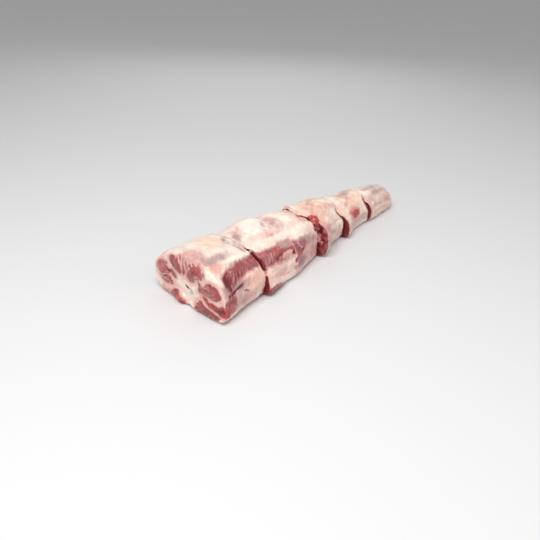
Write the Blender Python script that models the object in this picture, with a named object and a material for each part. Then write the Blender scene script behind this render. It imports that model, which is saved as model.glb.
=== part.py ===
"""A raw veal tail, cut through its joints into six slices that lie end to end as they were cut.

The thick end is at -X and the tip at +X, +Y is the tail's left and +Z is up. The origin is on the
surface that the tail lies on, under the middle of its length and width. Each slice is one loft
through cross-sections of its own, and a vertebra runs through it from cut to cut.
"""

import math
from dataclasses import dataclass, fields

import bmesh
import bpy
import numpy as np
from mathutils import Vector

MM = 0.001

# Every size below is in millimetres.
CUT_EDGE_ROUNDING = 0.9  # how far the skin turns in where the knife went through
SEAM_WIDTH = 3.5  # the fat between two muscles, where it shows in a cut
SEAM_SINK = 0.8  # how much of the swelling of a cut is missing over a seam
PRESSED_FLAT = 2.0  # how far the underside would reach below the surface that it lies on
BACKBONE_GROOVE = 2.6  # the groove along the underside, between the two lowest muscles
GROOVE_WIDTH = 5.0
GROOVE_OFFSET = -4.0  # to the left of the vertebra
MEAN_HEIGHT = 20.0  # the height about which a cut leans
VERTEBRA_CLEARANCE = 0.3
VERTEBRA_WAIST = 0.15  # how much thinner a vertebra is midway than at its ends

# How finely the solids are drawn
OUTLINE_SAMPLES = 720
CUT_RINGS = 4
VERTEBRA_STATIONS = 2

# Where the fat seams between the six muscles run, in degrees round the vertebra: 0 is the tail's
# left and 90 its back.
SEAMS = (33, 80, 135, 172, 270, 355)


@dataclass
class Section:
    """One cross-section of the meat, looking along the tail."""

    left: float  # reach to the left of the middle line
    right: float
    top: float
    crest: float  # where across the tail it is highest, to the left if positive
    waist: float  # the height at which it is widest
    left_shoulder: float  # squareness of each quarter: 2 is an ellipse, and more is squarer
    right_shoulder: float
    left_foot: float
    right_foot: float


@dataclass
class Vertebra:
    across: float  # its middle, to the left of the middle line
    up: float
    half_height: float
    half_width: float
    tilt: float = 0.0  # degrees that its long way leans to the left


@dataclass
class Lump:
    """A place where the skin stands out, or is hollow if the height is negative."""

    along: float
    across: float
    up: float
    spread: float
    height: float


@dataclass
class Bulge:
    """A place where the meat stands out of a cut."""

    across: float
    up: float
    spread: float
    height: float


@dataclass
class Reach:
    """A place where a cut and the skin's edge round it lie further along the tail."""

    across: float
    up: float
    spread: float
    along: float  # towards the tip, or towards the thick end if negative


@dataclass
class Cut:
    at: float  # where along the tail the knife went through
    lean: float = 0.0  # how far back it lies for each mm of height
    skew: float = 0.0  # and for each mm to the left
    swell: float = 0.0  # how far the muscles swell out of it
    bulges: tuple = ()
    reaches: tuple = ()


@dataclass
class Slice:
    name: str
    sides: int
    stations: int
    front: Cut
    rear: Cut
    vertebra: Vertebra
    sections: tuple  # at the front cut, midway and at the rear cut
    lumps: tuple = ()


def blended(sections, t):
    """The section at t, 0 at the front cut and 1 at the rear one, on a curve through all three."""
    weights = (1 - t) * (1 - 2 * t), 4 * t * (1 - t), t * (2 * t - 1)
    values = {}
    for field in fields(Section):
        values[field.name] = sum(w * getattr(s, field.name) for w, s in zip(weights, sections))
    return Section(**values)


def signed_power(value, exponent):
    return math.copysign(abs(value) ** exponent, value)


def outline_point(section, angle, inset):
    """(across, up) of the skin at an angle: 0 is the left side and a quarter turn is the back."""
    c, s = math.cos(angle), math.sin(angle)
    if s >= 0:
        squareness = section.left_shoulder if c >= 0 else section.right_shoulder
        rise = section.top - section.waist
    else:
        squareness = section.left_foot if c >= 0 else section.right_foot
        rise = section.waist + PRESSED_FLAT
    reach = section.left - section.crest if c >= 0 else section.right + section.crest
    across = section.crest + (reach - inset) * signed_power(c, 2 / squareness)
    up = section.waist + (rise - inset) * signed_power(s, 2 / squareness)
    return across, up


def outline(section, sides, inset):
    """The skin of one cross-section, as points spread evenly round it from its left side."""
    angles = np.linspace(0, 2 * math.pi, OUTLINE_SAMPLES + 1)
    fine = np.array([outline_point(section, angle, inset) for angle in angles])
    fine[:, 1] = np.maximum(fine[:, 1], inset)
    run = np.concatenate(([0], np.cumsum(np.linalg.norm(np.diff(fine, axis=0), axis=1))))
    stops = np.arange(sides) / sides * run[-1]
    across = np.interp(stops, run, fine[:, 0])
    up = np.interp(stops, run, fine[:, 1])
    return across, up


def falloff(place, across, up):
    """1 at the middle of a reach or a bulge, falling to 0 beyond its spread."""
    off = math.hypot(across - place.across, up - place.up) / place.spread
    return math.exp(-off * off)


def cut_place(cut, across, up):
    """How far along the tail a cut lies here."""
    along = cut.at + cut.lean * (up - MEAN_HEIGHT) + cut.skew * across
    for reach in cut.reaches:
        along += reach.along * falloff(reach, across, up)
    return along


def lumped(piece, point, middle):
    """A point of the skin moved out or in by the lumps near it."""
    out = Vector((0, point.y - middle.y, point.z - middle.z)).normalized()
    push = 0.0
    for lump in piece.lumps:
        off = (point - Vector((lump.along, lump.across, lump.up))).length / lump.spread
        push += lump.height * math.exp(-off * off)
    moved = point + out * push
    moved.z = max(moved.z, 0.0)
    return moved


def skin_ring(piece, t, inset=0.0):
    section = blended(piece.sections, t)
    middle = Vector((0, section.crest, section.waist))
    ring = []
    for across, up in zip(*outline(section, piece.sides, inset)):
        front = cut_place(piece.front, across, up)
        rear = cut_place(piece.rear, across, up)
        point = lumped(piece, Vector((front + (rear - front) * t, across, up)), middle)
        from_groove = (point.y - piece.vertebra.across - GROOVE_OFFSET) / GROOVE_WIDTH
        groove = BACKBONE_GROOVE * math.exp(-from_groove * from_groove)
        if point.z < groove:
            point.z = groove
        ring.append(point)
    return ring


def vertebra_reach(vertebra, angle):
    """How far the vertebra's outline, an ellipse, is from its middle at an angle."""
    turned = angle - math.radians(90 - vertebra.tilt)
    along = math.cos(turned) / vertebra.half_height
    beside = math.sin(turned) / vertebra.half_width
    return 1 / math.hypot(along, beside)


def vertebra_ring(piece, cut, skin, scale, gap):
    """The vertebra's outline on a cut, with a point in the direction of each point of the skin."""
    bone = piece.vertebra
    ring = []
    for point in skin:
        angle = math.atan2(point.z - bone.up, point.y - bone.across)
        reach = vertebra_reach(bone, angle) * scale + gap
        across = bone.across + reach * math.cos(angle)
        up = bone.up + reach * math.sin(angle)
        ring.append(Vector((cut_place(cut, across, up), across, up)))
    return ring


def seam_share(piece, point):
    """1 over a fat seam of a cut, falling to 0 away from it."""
    across = point.y - piece.vertebra.across
    up = point.z - piece.vertebra.up
    reach = math.hypot(across, up)
    share = 0.0
    for seam in SEAMS:
        apart = math.atan2(up, across) - math.radians(seam)
        apart = abs(math.remainder(apart, 2 * math.pi))
        off = min(apart, math.pi / 2) * reach / SEAM_WIDTH
        share = max(share, math.exp(-off * off))
    return share


def cut_rings(piece, cut, edge, bone, outward):
    """Rings over a cut from the skin in to the vertebra, swelling out between the seams."""
    rings = []
    for k in range(CUT_RINGS + 1):
        share = k / CUT_RINGS
        arch = math.sin(math.pi * min(1.0, 0.05 + share))
        ring = []
        for outer, inner in zip(edge, bone):
            point = outer.lerp(inner, share)
            flat = seam_share(piece, point) * SEAM_SINK
            out = cut.swell * arch * (1 - flat)
            for bulge in cut.bulges:
                out += bulge.height * falloff(bulge, point.y, point.z)
            point.x += outward * out
            ring.append(point)
        rings.append(ring)
    return rings


def slice_rings(piece):
    """A slice's whole surface: back along the skin, in over the rear cut, forward through the
    hole for the vertebra and out over the front cut."""
    turn = CUT_EDGE_ROUNDING / (piece.rear.at - piece.front.at)
    skin = []
    for k in range(piece.stations + 1):
        skin.append(skin_ring(piece, turn + (1 - 2 * turn) * k / piece.stations))
    front_edge = skin_ring(piece, 0.0, CUT_EDGE_ROUNDING)
    rear_edge = skin_ring(piece, 1.0, CUT_EDGE_ROUNDING)
    front_bone = vertebra_ring(piece, piece.front, front_edge, 1.0, VERTEBRA_CLEARANCE)
    rear_bone = vertebra_ring(piece, piece.rear, front_edge, 1.0, VERTEBRA_CLEARANCE)
    front = cut_rings(piece, piece.front, front_edge, front_bone, -1)
    rear = cut_rings(piece, piece.rear, rear_edge, rear_bone, 1)
    return skin + rear + front[::-1]


def vertebra_rings(piece):
    edge = skin_ring(piece, 0.0, CUT_EDGE_ROUNDING)
    rings = []
    for k in range(VERTEBRA_STATIONS + 1):
        share = k / VERTEBRA_STATIONS
        scale = 1 - VERTEBRA_WAIST * math.sin(math.pi * share)
        front = vertebra_ring(piece, piece.front, edge, scale, 0.0)
        rear = vertebra_ring(piece, piece.rear, edge, scale, 0.0)
        rings.append([a.lerp(b, share) for a, b in zip(front, rear)])
    return rings


def mesh_of_rings(name, rings, closed):
    """A mesh with a face between each two neighbouring points of neighbouring rings."""
    mesh = bpy.data.meshes.new(name)
    form = bmesh.new()
    grid = [[form.verts.new(point * MM) for point in ring] for ring in rings]
    following = grid[1:] + grid[:1] if closed else grid[1:]
    for ring, other in zip(grid, following):
        for i in range(len(ring)):
            j = (i + 1) % len(ring)
            form.faces.new((ring[i], ring[j], other[j], other[i]))
    if not closed:
        form.faces.new(grid[0][::-1])
        form.faces.new(grid[-1])
    bmesh.ops.recalc_face_normals(form, faces=form.faces)
    form.to_mesh(mesh)
    form.free()
    return mesh


def raw_veal():
    return plain_material("raw_veal", (0.68, 0.40, 0.34), 0.42)


def raw_bone():
    return plain_material("raw_bone", (0.84, 0.74, 0.62), 0.5)


def plain_material(name, colour, roughness):
    material = bpy.data.materials.new(name)
    material.use_nodes = True
    shader = material.node_tree.nodes["Principled BSDF"]
    shader.inputs["Base Color"].default_value = (*colour, 1.0)
    shader.inputs["Roughness"].default_value = roughness
    shader.inputs["Metallic"].default_value = 0.0
    return material


def add_object(mesh, material, collection):
    mesh.materials.append(material)
    made = bpy.data.objects.new(mesh.name, mesh)
    collection.objects.link(made)
    mesh.shade_smooth()
    mesh.set_sharp_from_angle(angle=math.radians(50))
    return made


# Where two neighbouring cuts turn aside together. Over the third cut a flap of fat overhangs.
OVERHANG = Reach(3.0, 42.0, 11.0, -4.0)
FOURTH_BEND = Reach(-13.0, 32.0, 9.0, -5.5)
FIFTH_BEND = Reach(-11.0, 28.0, 9.0, -4.5)

SLICES = (
    Slice(
        name="slice_1",
        sides=56,
        stations=9,
        front=Cut(-162.2, skew=0.028, swell=2.0, bulges=(Bulge(8.0, 3.0, 7.0, 2.5),)),
        rear=Cut(-102.7),
        vertebra=Vertebra(1.0, 15.0, 12.0, 8.0, tilt=42),
        sections=(
            Section(46.6, 47.5, 50.5, -6.0, 20.0, 1.8, 1.8, 3.6, 7.0),
            Section(45.5, 42.5, 49.5, -3.0, 18.0, 2.4, 2.0, 3.0, 6.0),
            Section(44.0, 37.0, 41.5, 10.0, 16.0, 3.0, 2.1, 2.6, 6.0),
        ),
        lumps=(
            Lump(-162.2, 46.0, 29.0, 10.0, 2.5),
            Lump(-160.0, -37.0, 39.0, 9.0, 1.6),
            Lump(-135.0, -39.0, 29.0, 10.0, -1.4),
            Lump(-112.0, -37.0, 13.0, 13.0, 1.6),
            Lump(-132.0, -6.0, 49.0, 12.0, -1.2),
        ),
    ),
    Slice(
        name="slice_2",
        sides=48,
        stations=7,
        front=Cut(-101.7, reaches=(Reach(-35.0, 33.0, 8.0, 2.4),)),
        rear=Cut(-54.7),
        vertebra=Vertebra(3.0, 16.0, 10.0, 9.5),
        sections=(
            Section(43.0, 41.5, 41.0, 5.0, 8.0, 2.6, 2.6, 2.4, 7.0),
            Section(42.5, 40.0, 44.5, 8.0, 9.0, 2.5, 2.7, 2.4, 6.0),
            Section(41.0, 38.0, 44.0, 12.0, 10.0, 2.5, 2.8, 2.4, 6.0),
        ),
        lumps=(
            Lump(-64.2, 28.0, 42.0, 11.0, 3.2),
            Lump(-86.0, -27.0, 38.0, 12.0, 1.4),
            Lump(-80.0, -39.0, 22.0, 10.0, -1.2),
            Lump(-101.2, -42.0, 2.0, 9.0, 3.0),
            Lump(-89.2, -40.0, 2.0, 10.0, 2.0),
        ),
    ),
    Slice(
        name="slice_3",
        sides=48,
        stations=7,
        front=Cut(-53.8),
        rear=Cut(-6.2, reaches=(OVERHANG, Reach(-28.0, 12.0, 12.0, -2.0))),
        vertebra=Vertebra(4.0, 15.5, 9.5, 9.0),
        sections=(
            Section(36.0, 37.5, 40.5, 10.0, 10.0, 2.4, 2.7, 2.4, 6.0),
            Section(39.0, 32.5, 43.5, 8.0, 12.0, 2.5, 2.6, 2.4, 6.0),
            Section(36.5, 26.0, 39.4, 4.0, 12.0, 2.7, 2.6, 2.4, 6.0),
        ),
        lumps=(
            Lump(-38.0, -26.0, 34.0, 10.0, 1.2),
            Lump(-24.0, -30.0, 16.0, 10.0, -1.2),
            Lump(-14.0, 2.0, 41.0, 12.0, 1.2),
        ),
    ),
    Slice(
        name="slice_4",
        sides=44,
        stations=7,
        front=Cut(
            -5.2,
            bulges=(
                Bulge(-12.0, 33.0, 5.0, 1.5),
                Bulge(-16.0, 27.0, 5.0, 2.4),
                Bulge(-19.0, 18.0, 5.0, 2.0),
                Bulge(-28.0, 15.0, 6.0, 1.5),
            ),
            reaches=(OVERHANG, Reach(-25.0, 22.0, 16.0, 4.6), Reach(27.0, 30.0, 12.0, 3.0)),
        ),
        rear=Cut(49.3, reaches=(FOURTH_BEND,)),
        vertebra=Vertebra(4.0, 14.5, 8.5, 8.0),
        sections=(
            Section(30.5, 37.0, 41.2, 5.0, 17.0, 3.8, 2.3, 2.6, 4.5),
            Section(34.0, 26.0, 42.0, 6.0, 16.0, 2.7, 2.3, 2.6, 4.0),
            Section(32.0, 18.0, 38.0, 9.0, 14.0, 2.4, 2.1, 2.6, 5.0),
        ),
        lumps=(
            Lump(0.0, 20.0, 42.0, 6.0, 1.6),
            Lump(10.0, 18.0, 42.0, 6.0, -1.4),
            Lump(-1.0, -14.0, 37.0, 5.0, 1.8),
            Lump(30.0, -8.0, 39.0, 12.0, 1.2),
            Lump(24.0, -25.0, 12.0, 9.0, -1.2),
        ),
    ),
    Slice(
        name="slice_5",
        sides=36,
        stations=7,
        front=Cut(50.3, reaches=(FOURTH_BEND, Reach(-20.0, 15.0, 9.0, 1.2))),
        rear=Cut(104.8, reaches=(FIFTH_BEND,)),
        vertebra=Vertebra(4.0, 14.0, 7.5, 7.0),
        sections=(
            Section(31.0, 27.5, 38.0, 9.0, 9.0, 2.4, 1.9, 2.6, 4.5),
            Section(28.0, 18.0, 35.5, 7.0, 11.0, 2.4, 2.1, 2.6, 4.0),
            Section(26.0, 17.0, 35.5, 5.0, 12.0, 2.4, 2.1, 2.6, 4.0),
        ),
        lumps=(
            Lump(78.0, -14.0, 24.0, 8.0, 1.4),
            Lump(66.0, 8.0, 36.0, 10.0, -1.0),
        ),
    ),
    Slice(
        name="slice_6",
        sides=32,
        stations=7,
        front=Cut(105.8, reaches=(FIFTH_BEND, Reach(-15.0, 17.0, 9.0, 1.2))),
        rear=Cut(159.3, lean=-0.35, swell=1.0),
        vertebra=Vertebra(3.0, 12.0, 6.0, 5.5),
        sections=(
            Section(25.0, 19.0, 32.0, 4.0, 12.0, 2.2, 2.2, 2.6, 3.5),
            Section(24.0, 16.5, 31.0, 5.0, 11.0, 2.2, 2.2, 2.6, 3.5),
            Section(21.0, 14.0, 28.5, 5.0, 10.0, 2.2, 2.1, 2.6, 3.5),
        ),
        lumps=(
            Lump(128.0, 3.0, 31.0, 10.0, 1.0),
            Lump(142.0, -12.0, 19.0, 9.0, -0.9),
        ),
    ),
)


def main():
    for old in list(bpy.data.objects):
        bpy.data.objects.remove(old)
    tail = bpy.data.collections.new("veal_tail")
    bpy.context.scene.collection.children.link(tail)
    veal = raw_veal()
    bone = raw_bone()
    for number, piece in enumerate(SLICES, 1):
        add_object(mesh_of_rings(piece.name, slice_rings(piece), True), veal, tail)
        name = f"vertebra_{number}"
        add_object(mesh_of_rings(name, vertebra_rings(piece), False), bone, tail)


main()
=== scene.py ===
import math

import bpy
import numpy as np
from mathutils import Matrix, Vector
from mathutils.bvhtree import BVHTree


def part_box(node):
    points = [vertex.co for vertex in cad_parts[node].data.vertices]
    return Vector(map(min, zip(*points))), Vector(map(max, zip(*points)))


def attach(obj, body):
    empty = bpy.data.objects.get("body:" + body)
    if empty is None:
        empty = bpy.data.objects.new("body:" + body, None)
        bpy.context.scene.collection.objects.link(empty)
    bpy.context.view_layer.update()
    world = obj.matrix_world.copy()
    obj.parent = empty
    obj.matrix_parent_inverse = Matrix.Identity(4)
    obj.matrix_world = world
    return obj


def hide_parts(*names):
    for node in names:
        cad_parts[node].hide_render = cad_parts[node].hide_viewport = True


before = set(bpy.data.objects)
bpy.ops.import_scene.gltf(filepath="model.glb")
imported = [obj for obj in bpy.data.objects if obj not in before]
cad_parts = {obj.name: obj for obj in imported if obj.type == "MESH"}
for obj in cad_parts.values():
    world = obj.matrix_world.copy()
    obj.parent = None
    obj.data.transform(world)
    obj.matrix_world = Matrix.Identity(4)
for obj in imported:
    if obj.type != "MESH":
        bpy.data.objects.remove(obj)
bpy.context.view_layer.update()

mm = 0.001
fullTurn = 2 * math.pi
print("frame loaded")


def smooth(low, high, value):  # 0 below low, 1 above high
    t = np.clip((value - low) / (high - low), 0, 1)
    return t * t * (3 - 2 * t)


def linear(hexColour):  # sRGB hex to the linear colour that a socket takes, by sRGB's own curve
    channels = [int(hexColour[i : i + 2], 16) / 255 for i in (1, 3, 5)]
    return [c / 12.92 if c <= 0.04045 else ((c + 0.055) / 1.055) ** 2.4 for c in channels] + [1]


cells = {
    "count": 32,  # the random directions come round again after this many blobs
    "shift": 17.3,  # blobs by which each finer octave is moved, so that their grids don't line up
    "fade": 0.5,  # strength of each octave beside the one before it
    "gain": 1.6,  # brings the whole to about -1 to 1
}
slopeTables = {}


def slopesOf(seed):
    if seed not in slopeTables:
        table = np.random.default_rng(seed).normal(size=(cells["count"],) * 3 + (3,))
        slopeTables[seed] = table / np.linalg.norm(table, axis=3, keepdims=True)
    return slopeTables[seed]


def cloud(points, size, seed=1, octaves=1):  # soft unevenness, about -1 to 1, in blobs of this many mm
    table, total, strength = slopesOf(seed), 0.0, 1.0
    for octave in range(octaves):
        cell = points / size * 2**octave + cells["shift"] * octave
        base = np.floor(cell).astype(int)
        part = cell - base
        fade = part**3 * (part * (part * 6 - 15) + 10)  # flat at both ends, so no edge shows
        value = 0.0
        for corner in np.ndindex(2, 2, 2):
            at = (base + corner) % cells["count"]
            slope = table[at[..., 0], at[..., 1], at[..., 2]]
            share = np.prod(np.where(corner, fade, 1 - fade), axis=-1)
            value = value + share * np.sum(slope * (part - corner), axis=-1)
        total = total + value * strength
        strength *= cells["fade"]
    return total * cells["gain"]


def uneven(points, look, seed, octaves=2):  # look: how much, and mm across the blobs
    return look[0] * cloud(points, look[1], seed, octaves)


def blur(values, sigma, axis, around):  # runs round and round, or stops at the grid's ends
    reach = int(sigma * 3) + 1  # a bell curve has run out there
    weights = np.exp(-0.5 * (np.arange(-reach, reach + 1) / sigma) ** 2)
    weights /= weights.sum()
    pad = [(0, 0)] * values.ndim
    pad[axis] = (reach, reach)
    wide = np.pad(values, pad, mode="wrap" if around else "edge")
    count = values.shape[axis]
    return sum(w * np.take(wide, range(i, i + count), axis=axis) for i, w in enumerate(weights))


def evened(rings, between, around):  # along the rows of readings and round them
    return blur(blur(np.array(rings), between, 0, False), around, 1, True)


scan = {
    "angles": 180,
    "step": 1.5,  # mm between the sections that are read
    "rows": 12,  # rings read on a cut face
    "inset": 1.8,  # mm inside the skin, where a cut face begins, and inside the hole, on the bone's end
    "insetLoss": 1.2,  # share of that inset that is gone at the hole
    "far": 90.0,  # mm from the middle line, clear of the skin
    "farAlong": 300,  # mm from the frame's middle, clear of both ends
    "guess": 12.0,  # mm from a slice's outermost point to where its cut is looked for at first
    "tries": 3,
    "past": 1.5,  # mm beyond a cut, where there is skin all round
    "pastHole": 2,  # mm from there to where the hole is read
    "endGap": 1,  # mm from each cut to the nearest section
    # over how many readings they are evened out
    "calm": {"bone": 2.0, "cut": 1.0, "hole": 2.0, "face": (1.0, 2.0), "skin": (2.0, 2.2)},
}


def treeOf(name):
    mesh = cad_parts[name].data
    return BVHTree.FromPolygons([v.co / mm for v in mesh.vertices], [p.vertices[:] for p in mesh.polygons])


def wallAt(tree, x, middle, angle, start):  # mm from the middle line to the wall met from this far out
    way = Vector((0, math.cos(angle), math.sin(angle)))
    hit = tree.ray_cast(Vector((x, *middle)) + way * start, -way if start else way)
    return abs(start - hit[3]) if hit[0] else np.nan


def cutPlace(tree, across, height, way):  # where a cut lies along the tail, looked at from outside
    hit = tree.ray_cast(Vector((-way * scan["farAlong"], across, height)), Vector((way, 0, 0)))
    return hit[0].x if hit[0] else np.nan


def mended(values):  # a reading that missed takes the mean of its neighbours round the ring
    values = np.array(values)
    bad = np.isnan(values)
    if bad.any():
        where = np.arange(values.size)
        values[bad] = np.interp(where[bad], where[~bad], values[~bad], period=values.size)
    return values


def boxOf(name):  # a node's corners in mm, and its middle line as across and up
    low, high = (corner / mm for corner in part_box(name))
    return low, high, ((low.y + high.y) / 2, (low.z + high.z) / 2)


def wallRing(tree, places, middle, angles, start):
    return mended([wallAt(tree, x, middle, a, start) for x, a in zip(places, angles)])


def cutRing(tree, reach, middle, angles, way):
    spots = zip(middle[0] + reach * np.cos(angles), middle[1] + reach * np.sin(angles))
    return mended([cutPlace(tree, y, z, way) for y, z in spots])


def readSlice(name, boneName):
    tree, boneTree = treeOf(name), treeOf(boneName)
    (low, high, _), middle = boxOf(name), boxOf(boneName)[2]
    angles = np.arange(scan["angles"]) / scan["angles"] * fullTurn
    calm, far = scan["calm"], scan["far"]
    found = {"middle": middle}
    for end, way, outermost in (("front", 1, low.x), ("rear", -1, high.x)):
        place = np.full(angles.size, outermost + way * scan["guess"])
        for _ in range(scan["tries"]):  # closes in on the skin's edge, which isn't at one place
            edge = wallRing(tree, place, middle, angles, far)
            at = cutRing(tree, edge - scan["inset"], middle, angles, way)
            place = at + way * scan["past"]
        hole = wallRing(tree, place + way * scan["pastHole"], middle, angles, 0)
        rows = []
        for k in range(scan["rows"]):
            inset = scan["inset"] * (1 - scan["insetLoss"] * k / scan["rows"])
            reach = edge + (hole - edge) * k / scan["rows"] - inset
            rows.append(cutRing(tree, reach, middle, angles, way))
        rows.append(rows[-1])
        toBone = cutRing(boneTree, hole - scan["inset"], middle, angles, way)
        found[end + "Bone"] = blur(toBone, calm["bone"], 0, True)
        found[end] = blur(at, calm["cut"], 0, True)
        found[end + "Hole"] = blur(hole, calm["hole"], 0, True)
        found[end + "Face"] = evened(rows, *calm["face"])
    length = found["rear"] - found["front"]
    count = int(length.max() / scan["step"])
    reach = []
    for k in range(count):
        place = found["front"] + scan["endGap"] + (length - 2 * scan["endGap"]) * k / (count - 1)
        reach.append(wallRing(tree, place, middle, angles, far))
    found["reach"] = evened(reach, *calm["skin"])
    return found


def atAngles(values, places):  # readings round a ring, taken at other angles
    ringAngles = np.linspace(0, fullTurn, values.shape[-1] + 1)
    rows = np.atleast_2d(values)
    rows = np.concatenate([rows, rows[:, :1]], axis=1)
    taken = np.stack([np.interp(places, ringAngles, row) for row in rows])
    return taken if values.ndim == 2 else taken[0]


def skinLength(reach):  # mm round a section, and the mm run so far at each reading
    ringAngles = np.linspace(0, fullTurn, reach.size + 1)
    closed = np.append(reach, reach[0])
    y, z = closed * np.cos(ringAngles), closed * np.sin(ringAngles)
    run = np.concatenate([[0], np.cumsum(np.hypot(np.diff(y), np.diff(z)))])
    return run[-1], run, ringAngles


def takeRows(grid, share):  # a grid's rows blended at a share of its height, one share for each place
    row = np.clip(share, 0, 1) * (grid.shape[0] - 1)
    low = np.minimum(row.astype(int), grid.shape[0] - 2)
    column = np.arange(grid.shape[1])[None, :]
    part = row - low
    return grid[low, column] * (1 - part) + grid[low + 1, column] * part


weave = {
    "step": 0.66,  # mm between neighbouring points
    "hiddenStep": 1.3,  # mm between rows on a cut that can't be seen
    "rimRows": 5,
    "holeRows": 4,
    "rimUneven": (0.4, 9),  # on a ring of this radius in mm
    "rimRing": 30,
    "blendIn": 8,  # a cut's relief begins over the first eighth of the way in
    "farIn": 20.0,  # mm from the skin or the hole, for places where it doesn't matter
    # the flesh thins out over the bone: share of the way to it, mm into it, mm over it
    "lip": ((0.3, 0, 0.6), (0.7, 0, 1.2), (1, 0.1, 1.8), (1, 0.4, 2.4), (1, 1.4, 0.2)),
}
# Which part of the grid a point is on: 0 the skin, and between that and the others the rounded rim.
zones = {"front": -1.0, "rear": 1.0, "hole": 2.0}
rimFade = (0.25, 0.75)  # shares of the way round a rim between which skin turns into cut
beforeHole = 1.5
# What each row of the grid holds: mm along the tail, mm from the middle line, the zone, and how many mm
# it is inside the skin and outside the bone's hole.
gridParts = ("x", "r", "zone", "inward", "outward")


def sliceGrid(found, rims, fine):  # a slice's whole surface as rows of points, front, skin, rear and hole
    perimeter, run, ringAngles = skinLength(found["reach"].mean(0))
    count = int(perimeter / weave["step"])
    angles = np.interp(np.arange(count) / count * perimeter, run, ringAngles)  # evenly spaced on the skin
    reach = atAngles(found["reach"], angles)
    ends = {end: atAngles(found[end], angles) for end in ("front", "rear")}
    holes = {end: atAngles(found[end + "Hole"], angles) for end in ends}
    edges = {"front": reach[0], "rear": reach[-1]}
    ring = np.stack([angles * 0, np.cos(angles) * weave["rimRing"], np.sin(angles) * weave["rimRing"]], -1)
    rim = {}
    for end, seed in (("front", 3), ("rear", 4)):
        rim[end] = roundRing(rims[end], np.degrees(angles)) * (1 + uneven(ring, weave["rimUneven"], seed))

    def faceRows(end, way):
        edge, hole = edges[end], holes[end]
        face = atAngles(found[end + "Face"], angles)
        rows = int((edge - hole).mean() / weave["step" if end in fine else "hiddenStep"])
        made = []
        for k in range(rows + 1):
            share = k / rows
            distance = edge - rim[end] + (hole - edge + rim[end]) * share
            place = takeRows(face, np.full((1, count), share))[0]
            place = ends[end] + (place - ends[end]) * min(1, share * weave["blendIn"])
            made.append((place, distance, zones[end], edge - distance, distance - hole))
        toBone = atAngles(found[end + "Bone"], angles) - made[rows][0]
        for share, sink, over in weave["lip"]:
            place = made[rows][0] + toBone * share + way * sink
            made.append((place, hole - over, zones[end], edge - hole + over, np.full(count, -over)))
        return made

    def rimRows(end, way):
        edge = edges[end]
        made = []
        for k in range(weave["rimRows"], 0, -1):  # from the cut out to the skin
            turn = math.pi / 2 * (k - 0.5) / weave["rimRows"]
            place = ends[end] + way * rim[end] * (1 - math.sin(turn))
            distance = edge - rim[end] * (1 - math.cos(turn))
            zone = zones[end] * (k - 0.5) / weave["rimRows"]
            made.append((place, distance, zone, edge - distance, edge - holes[end]))
        return made

    rows = faceRows("front", 1)[::-1] + rimRows("front", 1)
    length = ends["rear"] - ends["front"]
    skinRows = int(length.mean() / weave["step"])
    onSkin, farIn = np.zeros(count), np.full(count, weave["farIn"])
    for k in range(skinRows + 1):
        place = ends["front"] + rim["front"] + (length - rim["front"] - rim["rear"]) * k / skinRows
        share = (place - ends["front"] - scan["endGap"]) / (length - 2 * scan["endGap"])
        rows.append((place, takeRows(reach, share[None, :])[0], 0.0, onSkin, farIn))
    rows += rimRows("rear", -1)[::-1] + faceRows("rear", -1)
    first, last = rows[0], rows[-1]
    for k in range(1, weave["holeRows"] + 1):
        share = k / (weave["holeRows"] + 1)
        place, distance = (b + (a - b) * share for a, b in zip(first[:2], last[:2]))
        rows.append((place, distance, zones["hole"], farIn, onSkin))
    grid = {key: np.array([row[i] + 0 * angles for row in rows]) for i, key in enumerate(gridParts)}
    grid["angle"] = np.broadcast_to(angles, grid["x"].shape)
    grid |= {"middle": found["middle"], "reach": reach, "perimeter": perimeter}
    grid["fromFront"] = grid["x"] - ends["front"]
    grid["fromRear"] = ends["rear"] - grid["x"]
    return grid


def pointsOf(grid):
    across = grid["middle"][0] + grid["r"] * np.cos(grid["angle"])
    height = grid["middle"][1] + grid["r"] * np.sin(grid["angle"])
    return np.stack([grid["x"], across, height], -1)


def normalsOf(points):
    overRows = np.roll(points, -1, 0) - np.roll(points, 1, 0)
    overRings = np.roll(points, -1, 1) - np.roll(points, 1, 1)
    normals = np.cross(overRings, overRows)
    return normals / np.maximum(np.linalg.norm(normals, axis=-1, keepdims=True), 1e-9)


# The membrane layer also carries painted shade: mauve-grey lines along the creases between slices and under
# slice 4's overhang.
layers = ("lean", "deep", "fresh", "veil", "warm", "flush", "bright", "sheen")


def roundRing(values, degrees):  # one number, or (degrees, number) pairs that blend round the ring
    if isinstance(values, (int, float)):
        return np.full(np.shape(degrees), float(values))
    places, amounts = zip(*values)
    return np.interp(degrees % 360, places, amounts, period=360)


def curveThrough(corners, fine=5):  # a closed smooth line through the corners
    corners = np.array(corners, float)
    before, after, beyond = (np.roll(corners, shift, 0) for shift in (1, -1, -2))
    made = []
    for t in np.arange(fine) / fine:
        bend = 2 * before - 5 * corners + 4 * after - beyond
        twist = 3 * (corners - after) + beyond - before
        made.append(corners + 0.5 * t * ((after - before) + t * (bend + t * twist)))
    return np.stack(made, 1).reshape(-1, 2)


def insideBy(u, v, line, closed=True):  # mm inside a closed line; for an open one, minus the mm from it
    nearest, crossings = np.full(u.shape, 1e9), np.zeros(u.shape, bool)
    ends = np.roll(line, -1, 0) if closed else line[1:]
    for (ua, va), (ub, vb) in zip(line, ends):
        length = (ub - ua) ** 2 + (vb - va) ** 2 + 1e-9
        part = np.clip(((u - ua) * (ub - ua) + (v - va) * (vb - va)) / length, 0, 1)
        nearest = np.minimum(nearest, (u - ua - part * (ub - ua)) ** 2 + (v - va - part * (vb - va)) ** 2)
        if closed and va != vb:
            crossings ^= ((va > v) != (vb > v)) & (u < (ub - ua) * (v - va) / (vb - va) + ua)
    nearest = np.sqrt(nearest)
    return np.where(crossings, nearest, -nearest)


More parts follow.
